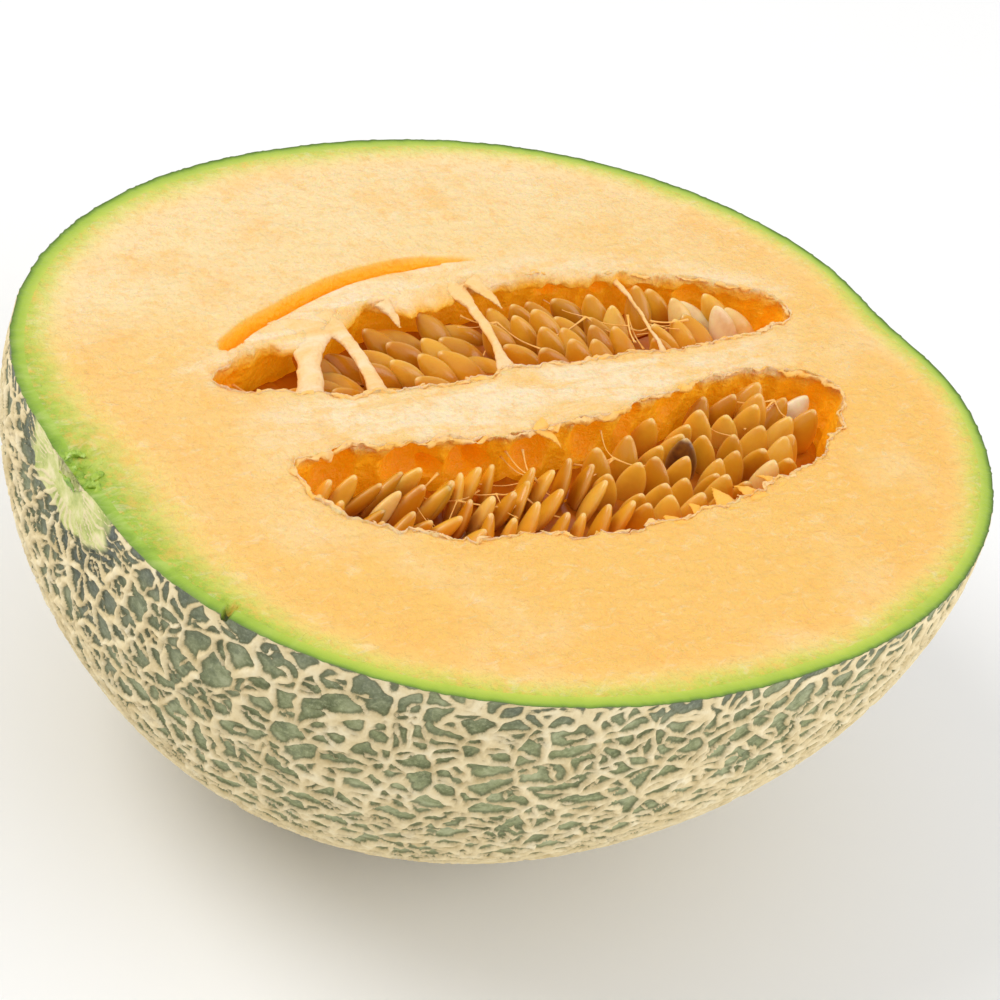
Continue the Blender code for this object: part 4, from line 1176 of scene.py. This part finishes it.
def seedForm():
    # one seed, root at the origin and tip along Z, flat sides facing Y
    rows, around = ((seeds["rows"], seeds["around"]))
    along = 0.5 - 0.5 * np.cos(np.linspace(0.0, 1.0, rows) * math.pi)
    wide = (1.0 - abs(2.0 * along - 1.0) ** 2.15) ** 0.6
    wide = wide * (1.0 - 0.16 * smoothStep(0.5, 1.0, along))
    wide = np.maximum(wide, 0.12 * smoothStep(1.0, 0.985, along) * (along > 0.9))
    turn = np.arange(around) * 2.0 * math.pi / around
    x = np.sign(np.cos(turn)) * abs(np.cos(turn)) ** 0.9
    y = np.sign(np.sin(turn)) * abs(np.sin(turn)) ** 1.2
    points = np.stack([
        wide[:, None] * x[None, :] * seeds["width"] / 2.0,
        (wide[:, None] ** 0.7) * y[None, :] * seeds["thickness"] / 2.0,
        np.broadcast_to(along[:, None] * seeds["length"], (rows, around)),
    ], axis=-1)
    edge = np.broadcast_to((abs(np.cos(turn)) ** 12)[None, :], (rows, around))
    return points.reshape(-1, 3), gridFaces(rows, around), np.repeat(along, around), edge.reshape(-1)


def seedFrame(root, tips, facing):
    along = tips.normalized()
    side = along.cross(facing).normalized()
    out = side.cross(along)
    return Matrix.Translation(root) @ Matrix((side, -out, along)).transposed().to_4x4()


def plainSeed():
    # the few points of the solid model's seed
    found = [(0.0, 0.0, 0.0), (0.0, 0.0, seeds["length"])]
    for along, width in seeds["rings"]:
        for k in range(seeds["sides"]):
            turn = 2.0 * math.pi * k / seeds["sides"]
            x = math.cos(turn) * seeds["width"] / 2.0 * width
            y = math.sin(turn) * seeds["thickness"] / 2.0 * math.sqrt(width)
            found.append((x, y, seeds["length"] * along))
    return np.array(found)


def strandPath(number):
    (x0, y0), (x1, y1) = strands["ends"][number]
    share = np.arange(strands["steps"] + 1) / strands["steps"]
    sag = strands["sag"][number] * np.sin(math.pi * share) * share
    drop = strands["topDepth"] + strands["radius"][number] * 0.6 + sag
    return np.column_stack([x0 + (x1 - x0) * share, y0 + (y1 - y0) * share, cutHeight - drop])


def seedFits(points, outline, kind):
    # inside the chamber at its own depth, below the cut face and clear of every strand
    depths = cutHeight - points[:, 2]
    if depths.min() < seeds["topClearance"]:
        return False
    for point, depth in zip(points, depths):
        wall = shrunkLoop(outline, sizeAt(depth / chambers["depth"]), outline)[:, :2]
        after = np.roll(wall, -1, 0)
        crosses = (wall[:, 1] > point[1]) != (after[:, 1] > point[1])
        rise = np.where(after[:, 1] == wall[:, 1], 1e-9, after[:, 1] - wall[:, 1])
        at = wall[:, 0] + (point[1] - wall[:, 1]) / rise * (after[:, 0] - wall[:, 0])
        edge = after - wall
        share = np.clip(((point[:2] - wall) * edge).sum(1) / (edge ** 2).sum(1), 0, 1)
        gap = np.linalg.norm(point[:2] - wall - edge * share[:, None], axis=1).min()
        if (crosses & (at > point[0])).sum() % 2 == 0 or gap < seeds["wallClearance"]:
            return False
    if kind == "far":
        for number, radius in enumerate(strands["radius"]):
            reach = radius * (1.0 + strands["flare"]) + seeds["strandClearance"]
            path = strandPath(number)
            if np.linalg.norm(points[:, None] - path[None], axis=2).min() < reach:
                return False
    return True


def seedFrames(kind):
    # rows and columns in every bundle, leaning and fanned, clear of the walls
    chamber = chambers[kind]
    draw = random.Random(chamber["seed"])
    outline = np.array(smoothOutline(chamber["corners"], chamber["seed"]))
    plain = plainSeed()
    found = []
    for bundle in bundles[kind]:
        columns, rows = bundle["grid"]
        lean = Vector(bundle["tips"]).normalized()
        for column in range(columns):
            for row in range(rows):
                beside = column - (columns - 1) / 2.0 + 0.5 * (row % 2) - 0.25
                across = row - (rows - 1) / 2.0
                place = Vector((*bundle["middle"], 0.0))
                place += Vector((beside * bundle["pitch"][0], across * bundle["pitch"][1], 0.0))
                place += Vector((draw.uniform(-1, 1), draw.uniform(-1, 1), 0.0)) * seeds["jitter"]
                wander = Vector([draw.uniform(-seeds["fan"], seeds["fan"]) for _ in range(3)])
                rise = draw.uniform(0.0, 1.0)
                tips = (lean + wander).normalized()
                root = place - tips * seeds["length"] / 2.0
                root.z = cutHeight - chamber["bedDepth"] - bundle["sunk"] + rise
                made = seedFrame(root, tips, Vector(bundle["face"]) + wander)
                surface = plain @ np.array(made)[:3, :3].T + np.array(made)[:3, 3]
                if seedFits(surface, outline, kind):
                    found.append(made)
    return found


def makeSeeds(kind, name, node):
    form, formFaces, along, edge = seedForm()
    draw = random.Random(chambers[kind]["seed"] + 40)
    points, faces, tones, alongs, edges = [], [], [], [], []
    frames = seedFrames(kind)
    centres = np.array([tuple(made @ Vector((0.0, 0.0, seeds["length"] / 2.0))) for made in frames])[:, :2]
    odd = {int(np.linalg.norm(centres - place, axis=1).argmin()): tone for place, tone in oddSeeds[kind]}
    for number, made in enumerate(frames):
        size = draw.uniform(0.9, 1.06)
        rotation = np.array(made)[:3, :3]
        start = np.array(made)[:3, 3]
        bend = draw.uniform(-0.5, 0.5)
        shaped = form * np.array((size * draw.uniform(0.9, 1.05), size * draw.uniform(0.9, 1.1), size))
        shaped[:, 1] += bend * np.sin(along * math.pi)
        placed = shaped @ rotation.T + start
        placed[:, :2] += middle[:2]
        faces += [[v + number * len(form) for v in f] for f in formFaces]
        points.append(placed)
        tones.append(np.full(len(form), odd.get(number, draw.triangular(0.14, 0.88, 0.45))))
        alongs.append(along)
        edges.append(edge)
    print(name, len(frames))
    bed = makeBed(kind)
    offset = len(frames) * len(form)
    faces += [[v + offset for v in f] for f in bed[1]]
    points.append(bed[0])
    # painted shade: the pulp bed takes a low tone, dark brown, as shade in the gaps between the seeds
    tones.append(np.full(len(bed[0]), 0.1))
    alongs.append(np.zeros(len(bed[0])))
    edges.append(np.zeros(len(bed[0])))
    return addPiece(
        name, np.concatenate(points), faces, [node], seedMaterial,
        {"tone": np.concatenate(tones), "along": np.concatenate(alongs), "edge": np.concatenate(edges)},
    )


def makeBed(kind):
    # the pulp that the seeds stand in
    chamber = chambers[kind]
    outline = smoothOutline(chamber["corners"], chamber["seed"])
    loop = denseOutline(outline, 1.0)
    reference = np.array(outline)
    points, faces = [], []
    shares = [1.0, 0.8, 0.6, 0.4, 0.2, 0.02]
    for share in shares:
        ring = shrunkLoop(loop, sizeAt(chamber["bedDepth"] / chambers["depth"]) * 0.97, reference)
        centre = np.zeros_like(ring)
        centre[:, 0] = np.clip(ring[:, 0], reference[:, 0].min() + 20, reference[:, 0].max() - 20)
        centre[:, 1] = reference[:, 1].mean()
        ring = centre + (ring - centre) * share
        sunk = 0.0 if share < 1 else 3.0
        ring[:, 2] = cutHeight - chamber["bedDepth"] + 0.9 * roughNoise(ring, 3.0, 5, 3) - sunk
        ring[:, :2] += middle[:2]
        points.append(ring)
    faces = gridFaces(len(shares), len(loop))
    return np.concatenate(points), faces


makeSeeds("far", "seedsFar", "seeds_far")
makeSeeds("near", "seedsNear", "seeds_near")
report("seeds")


# torn pulp: webs across the far chamber, flaps, crumbs on the torn edges and fine threads
pulp = {
    "lipStep": 0.8,     # along a chamber's torn edge
    "stemBits": 26,     # of torn flesh where the stem was
    "voxel": 0.3,
    "webWidth": [2.2, 1.2, 1.0, 0.42],    # half the width of each web, on the solid model's strands
    "webHeight": [1.0, 0.7, 0.5, 0.35],
    "webFlare": [1.9, 1.7, 1.8, 1.6],
    "webBow": [0.6, 2.2, 2.6, 1.6],       # how far the middle bends towards the blossom end
    # flaps: where each is rooted, where its tip hangs, half its width
    "flaps": [
        ((-10.2, 25.5, -1.6), (-9.0, 21.6, -3.6), 1.9), ((9.2, 27.0, -1.2), (12.0, 22.0, -3.2), 2.1),
        ((-2.6, -9.6, -0.7), (-0.4, -13.0, -2.8), 1.7), ((12.0, -34.2, -1.4), (12.8, -29.2, -3.0), 2.4),
        ((17.5, -33.4, -1.2), (18.6, -27.6, -2.4), 2.8), ((23.5, -32.6, -1.1), (23.4, -27.8, -3.0), 2.6),
        ((29.5, -31.2, -1.2), (28.4, -27.0, -2.8), 2.0), ((6.0, -34.4, -1.2), (6.6, -30.6, -3.2), 2.0),
    ],
    "threadRadius": (0.05, 0.12),
    # hubs where threads meet in the open part of a chamber, in the melon's frame, depth last
    "hubs": {
        "near": [
            (-23.5, -17.5, -4.0), (-17.0, -18.5, -3.4), (-12.0, -19.5, -4.2), (-8.5, -17.0, -3.4),
            (8.0, -16.0, -3.6), (-30.0, -14.5, -4.4), (30.0, -11.0, -3.8), (46.0, -11.0, -3.0),
        ],
        "far": [
            (33.5, 15.5, -2.6), (37.5, 12.5, -3.0), (26.0, 17.5, -3.2),
            (44.5, 12.0, -2.8), (-40.0, 10.0, -3.0), (9.0, 20.0, -3.4),
        ],
    },
    "threadsPerHub": (2, 5),
    "threadReach": 6.5,
}


def sweep(path, wide, tall, sides=10, twist=0.0, capped=True):
    # a closed tube round a path, with its own half width and half height at each point
    path = np.asarray(path, float)
    along = unit(np.gradient(path, axis=0))
    flat = unit(np.cross(along, np.array((0.0, 0.0, 1.0))) + 1e-6)
    over = np.cross(flat, along)
    turn = np.arange(sides) * 2.0 * math.pi / sides + twist
    wide = np.broadcast_to(wide, (len(path),))[:, None, None]
    tall = np.broadcast_to(tall, (len(path),))[:, None, None]
    rings = path[:, None] + flat[:, None] * np.cos(turn)[None, :, None] * wide
    rings = rings + over[:, None] * np.sin(turn)[None, :, None] * tall
    faces = gridFaces(len(path), sides, 0, flip=True)
    if capped:
        faces += [list(range(sides)), [(len(path) - 1) * sides + sides - 1 - k for k in range(sides)]]
    return rings.reshape(-1, 3), faces


def curveBetween(points, steps):
    return np.array(curveThrough(points, steps, False))


def toBody(point):
    # from the cut face's own frame, depth last, to the model's frame
    return (point[0] + middle[0], point[1] + middle[1], cutHeight + point[2])


def joinShapes(shapes):
    points, faces, total = [], [], 0
    for shapePoints, shapeFaces in shapes:
        points.append(shapePoints)
        faces += [[v + total for v in f] for f in shapeFaces]
        total += len(shapePoints)
    return np.concatenate(points), faces


def fused(points, faces, voxel):
    # overlapping closed shapes as one skin
    mesh = bpy.data.meshes.new("fusing")
    mesh.from_pydata((np.asarray(points) * millimetre).tolist(), [], faces)
    helper = bpy.data.objects.new("fusing", mesh)
    bpy.context.scene.collection.objects.link(helper)
    remesh = helper.modifiers.new("fuse", "REMESH")
    remesh.mode = "VOXEL"
    remesh.voxel_size = voxel * 0.001
    graph = bpy.context.evaluated_depsgraph_get()
    made = helper.evaluated_get(graph).to_mesh()
    skin = np.array([tuple(v.co) for v in made.vertices]) * 1000.0
    skinFaces = [list(f.vertices) for f in made.polygons]
    edges = np.array([tuple(e.vertices) for e in made.edges])
    bpy.data.objects.remove(helper, do_unlink=True)
    for _ in range(2):
        total = np.zeros_like(skin)
        count = np.zeros(len(skin))
        np.add.at(total, edges[:, 0], skin[edges[:, 1]])
        np.add.at(total, edges[:, 1], skin[edges[:, 0]])
        np.add.at(count, edges[:, 0], 1)
        np.add.at(count, edges[:, 1], 1)
        skin = skin * 0.45 + total / count[:, None] * 0.55
    return skin, skinFaces


def makeWebs():
    shapes = []
    for number in range(len(strands["radius"])):
        path = strandPath(number)
        path[:, :2] += middle[:2]
        share = np.linspace(0.0, 1.0, len(path))
        path[:, 0] += pulp["webBow"][number] * np.sin(math.pi * share)
        path = curveBetween(path, 5)
        share = np.linspace(0.0, 1.0, len(path))
        flare = 1.0 + pulp["webFlare"][number] * abs(2.0 * share - 1.0) ** 2.6
        wobble = 1.0 + 0.22 * softNoise(path, 2.6, 101 + number)
        tall = pulp["webHeight"][number] * (0.5 + 0.5 * flare)
        shapes.append(sweep(path, pulp["webWidth"][number] * flare * wobble, tall))
    for number, (root, tip, width) in enumerate(pulp["flaps"]):
        root, tip = np.array(toBody(root)), np.array(toBody(tip))
        back = root - (tip - root) * 0.35
        bend = (root + tip) / 2.0 + np.array((0.0, 0.0, 0.35))
        path = curveBetween([back, root, bend, tip], 6)
        share = np.linspace(0.0, 1.0, len(path))
        taper = np.clip(1.0 - share ** 1.5, 0.04, 1.0) * (1.0 + 0.25 * softNoise(path, 1.4, 120 + number))
        shapes.append(sweep(path, width * taper * 1.1, 0.62 * np.clip(1.15 - share, 0.12, 1.0)))
    points, faces = joinShapes(shapes)
    points, faces = fused(points, faces, pulp["voxel"] * (1.0))
    points += np.stack([roughNoise(points, 1.8, 130 + k, 3) for k in range(3)], axis=1) * 0.16
    points[:, 2] = np.minimum(points[:, 2], cutHeight - 0.04)
    depth = cutHeight - points[:, 2]
    near = points[:, 1] < -2.0
    pale = 0.4 + 0.5 * smoothStep(12.0, -12.0, points[:, 0]) + 0.3 * softNoise(points, 1.6, 137)
    values = fleshValues(
        len(points),
        depth=np.where(near, 1.2 + 0.5 * depth, 0.7 + 0.35 * np.maximum(depth - 2.6, 0.0) * 3.0),
        pulp=np.where(near, 0.1, smoothStep(4.6, 1.6, depth) * pale), warmShare=0.3, milky=0.4,
    )
    return addPiece("tornWebs", points, faces, (), pulpMaterial, values)


def makeLips():
    # the ragged torn edge of each chamber
    shapes = []
    for kind in ("far", "near"):
        top = wallsMade[kind]["rows"][0]
        inward = wallsMade[kind]["inward"]
        gaps = np.linalg.norm(np.roll(top, -1, 0) - top, axis=1)
        along = np.concatenate([[0.0], np.cumsum(gaps)])
        count = int(along[-1] / pulp["lipStep"])
        wanted = (np.arange(count + 1) % count) * along[-1] / count
        closed = np.vstack([top, top[:1]])
        ring = np.stack([np.interp(wanted, along, closed[:, k]) for k in range(3)], axis=1)
        inward = np.vstack([inward, inward[:1]])
        push = np.stack([np.interp(wanted, along, inward[:, k]) for k in range(3)], axis=1)
        septum = (push[:, 1] > 0.3) if kind == "far" else (push[:, 1] < -0.3)
        size = 0.34 + 0.34 * softNoise(ring, 1.7, 151) + 0.24 * softNoise(ring, 4.0, 152)
        size = np.clip(size * np.where(septum, 1.3, 0.8), 0.08, 1.1)
        if kind == "far":
            size *= np.where(septum, 1.0, smoothStep(10.0, 24.0, ring[:, 0]) * 0.9 + 0.08)
        ring = ring + push * (0.15 + 0.3 * softNoise(ring, 2.2, 153))[:, None]
        ring[:, 2] = cutHeight - 0.15 - size
        shapes.append(sweep(ring, size, size * 0.95, 8, capped=False))
    points, faces = joinShapes(shapes)
    points, faces = fused(points, faces, pulp["voxel"] * (0.9))
    points += np.stack([roughNoise(points, 1.5, 140 + k, 4) for k in range(3)], axis=1) * 0.42
    points[:, 2] = np.minimum(points[:, 2], cutHeight - 0.05)
    tint = softNoise(points, 2.4, 145)
    under = cutHeight - points[:, 2]
    values = fleshValues(
        len(points), depth=0.7 + 0.5 * tint + 1.6 * np.maximum(under - 0.4, 0.0),
        pulp=np.clip(0.12 + 0.4 * softNoise(points, 1.5, 147), 0, 1), warmShare=0.7, milky=0.25,
    )
    return addPiece("tornLips", points, faces, (), pulpMaterial, values)


def makeThreads():
    draw = random.Random(47)
    shapes = []
    for hubs in pulp["hubs"].values():
        for hub in hubs:
            start = np.array(toBody(hub))
            for _ in range(draw.randint(*pulp["threadsPerHub"])):
                turn = draw.uniform(0.0, 2.0 * math.pi)
                reach = pulp["threadReach"] * draw.uniform(0.7, 1.35)
                way = (math.cos(turn) * reach, math.sin(turn) * reach, draw.uniform(-4.5, 0.6))
                end = start + np.array(way)
                end[2] = min(end[2], cutHeight - 1.2)
                sag = (start + end) / 2.0 - np.array((0.0, 0.0, draw.uniform(0.2, 1.0)))
                path = curveBetween([start, sag, end], 7)
                share = np.linspace(-1.0, 1.0, len(path))
                radius = draw.uniform(*pulp["threadRadius"]) * (1.0 + 1.1 * abs(share) ** 3)
                shapes.append(sweep(path, radius * 1.5, radius, 6))
    points, faces = joinShapes(shapes)
    points[:, 2] = np.minimum(points[:, 2], cutHeight - 0.05)
    values = fleshValues(len(points), depth=1.6, pulp=0.35, warmShare=0.5, milky=0.4)
    return addPiece("pulpThreads", points, faces, (), pulpMaterial, values)


def makeStemTear():
    # ruffled bits of green flesh where the stem was torn out
    draw = random.Random(61)
    x0, y0 = dips["stem"][:2]
    shapes = []
    for _ in range(pulp["stemBits"]):
        place = np.array((x0 + 1.6 + draw.uniform(0.0, 3.4), y0 + draw.gauss(0.0, 2.6), 0.0)) + middle
        drop = cutDips(place[None])[0][0]
        place[2] = cutHeight - drop + draw.uniform(-0.5, 0.2)
        turn = draw.uniform(-0.7, 0.9)
        reach = draw.uniform(1.6, 3.4)
        way = np.array((math.cos(turn), math.sin(turn), 0.0)) * reach
        top = place + np.array((0.0, 0.0, draw.uniform(0.1, 0.5)))
        path = curveBetween([place - way * 0.5, top, place + way * 0.5], 4)
        path[:, 2] = np.minimum(path[:, 2], cutHeight - 0.35)
        taper = np.sin(np.linspace(0.3, 2.85, len(path)))
        shapes.append(sweep(path, taper * draw.uniform(0.4, 0.9), taper * draw.uniform(0.25, 0.45), 7))
    points, faces = joinShapes(shapes)
    points, faces = fused(points, faces, 0.24)
    points += np.stack([roughNoise(points, 1.0, 160 + k, 3) for k in range(3)], axis=1) * 0.3
    points[:, 0] = np.maximum(points[:, 0], x0 + 1.2 + 0.03 * (points[:, 1] - y0) ** 2 + middle[0])
    points[:, 2] = np.minimum(points[:, 2], cutHeight - 0.1)
    count = len(points)
    values = {
        "fromSkin": 2.2 + 1.2 * softNoise(points, 1.2, 165), "stemShare": np.full(count, 0.3),
        "torn": smoothStep(-0.7, 0.2, softNoise(points, 1.5, 166)) * 0.8, "nick": np.zeros(count),
    }
    return addPiece("stemTear", points, faces, (), rimMaterial, values)


makeWebs()
makeLips()
makeThreads()
makeStemTear()
report("torn pulp")


# floor, light and camera
studio = {
    "cameraPlace": (-243.757, -241.977, 231.331 + cutHeight),
    "cameraRight": (0.8004217, -0.53882687, 0.26266081),
    "cameraUp": (0.172619, 0.62680781, 0.75981225),
    "cameraForward": (0.5740451, 0.56282997, -0.59472233),
    "lens": 93.6,
    "worldStrength": 0.72,
    "lights": [
        # name, place in metres, size, power, colour
        ("keyLight", (-0.9, 0.55, 1.25), 0.9, 10.5, (1.0, 0.985, 0.96)),
        ("fillLight", (0.9, -0.9, 0.55), 1.2, 7.0, (1.0, 1.0, 1.0)),
    ],
}


def makeStudio():
    scene = bpy.context.scene
    floorMesh = bpy.data.meshes.new("floor")
    floorMesh.from_pydata([(-4, -4, 0), (4, -4, 0), (4, 4, 0), (-4, 4, 0)], [], [(0, 1, 2, 3)])
    floor = bpy.data.objects.new("floor", floorMesh)
    scene.collection.objects.link(floor)
    material, _, shader = newMaterial("paleFloor")
    shader.inputs["Base Color"].default_value = (0.94, 0.94, 0.94, 1.0)
    shader.inputs["Roughness"].default_value = 0.9
    shader.inputs["Specular IOR Level"].default_value = 0.1
    floorMesh.materials.append(material)
    world = bpy.data.worlds.new("softWorld")
    scene.world = world
    world.use_nodes = True
    world.node_tree.nodes["Background"].inputs[0].default_value = (1.0, 1.0, 1.0, 1.0)
    world.node_tree.nodes["Background"].inputs[1].default_value = studio["worldStrength"]
    for name, place, size, power, tint in studio["lights"]:
        light = bpy.data.lights.new(name, "AREA")
        light.shape = "DISK"
        light.size = size
        light.energy = power
        light.color = tint
        lamp = bpy.data.objects.new(name, light)
        lamp.location = place
        lamp.rotation_euler = (Vector((0, 0, 0.04)) - Vector(place)).to_track_quat("-Z", "Y").to_euler()
        scene.collection.objects.link(lamp)
    camera = bpy.data.cameras.new("camera")
    camera.lens = studio["lens"]
    camera.sensor_width = 36.0
    camera.clip_start = 0.01
    holder = bpy.data.objects.new("camera", camera)
    right, up, forward = (Vector(studio["camera" + way]) for way in ("Right", "Up", "Forward"))
    place = (Vector(studio["cameraPlace"]) + Vector(middle)) * millimetre
    holder.matrix_world = Matrix.Translation(place) @ Matrix((right, up, -forward)).transposed().to_4x4()
    scene.collection.objects.link(holder)
    scene.camera = holder
    scene.view_settings.view_transform = "Standard"


makeStudio()
report("studio")
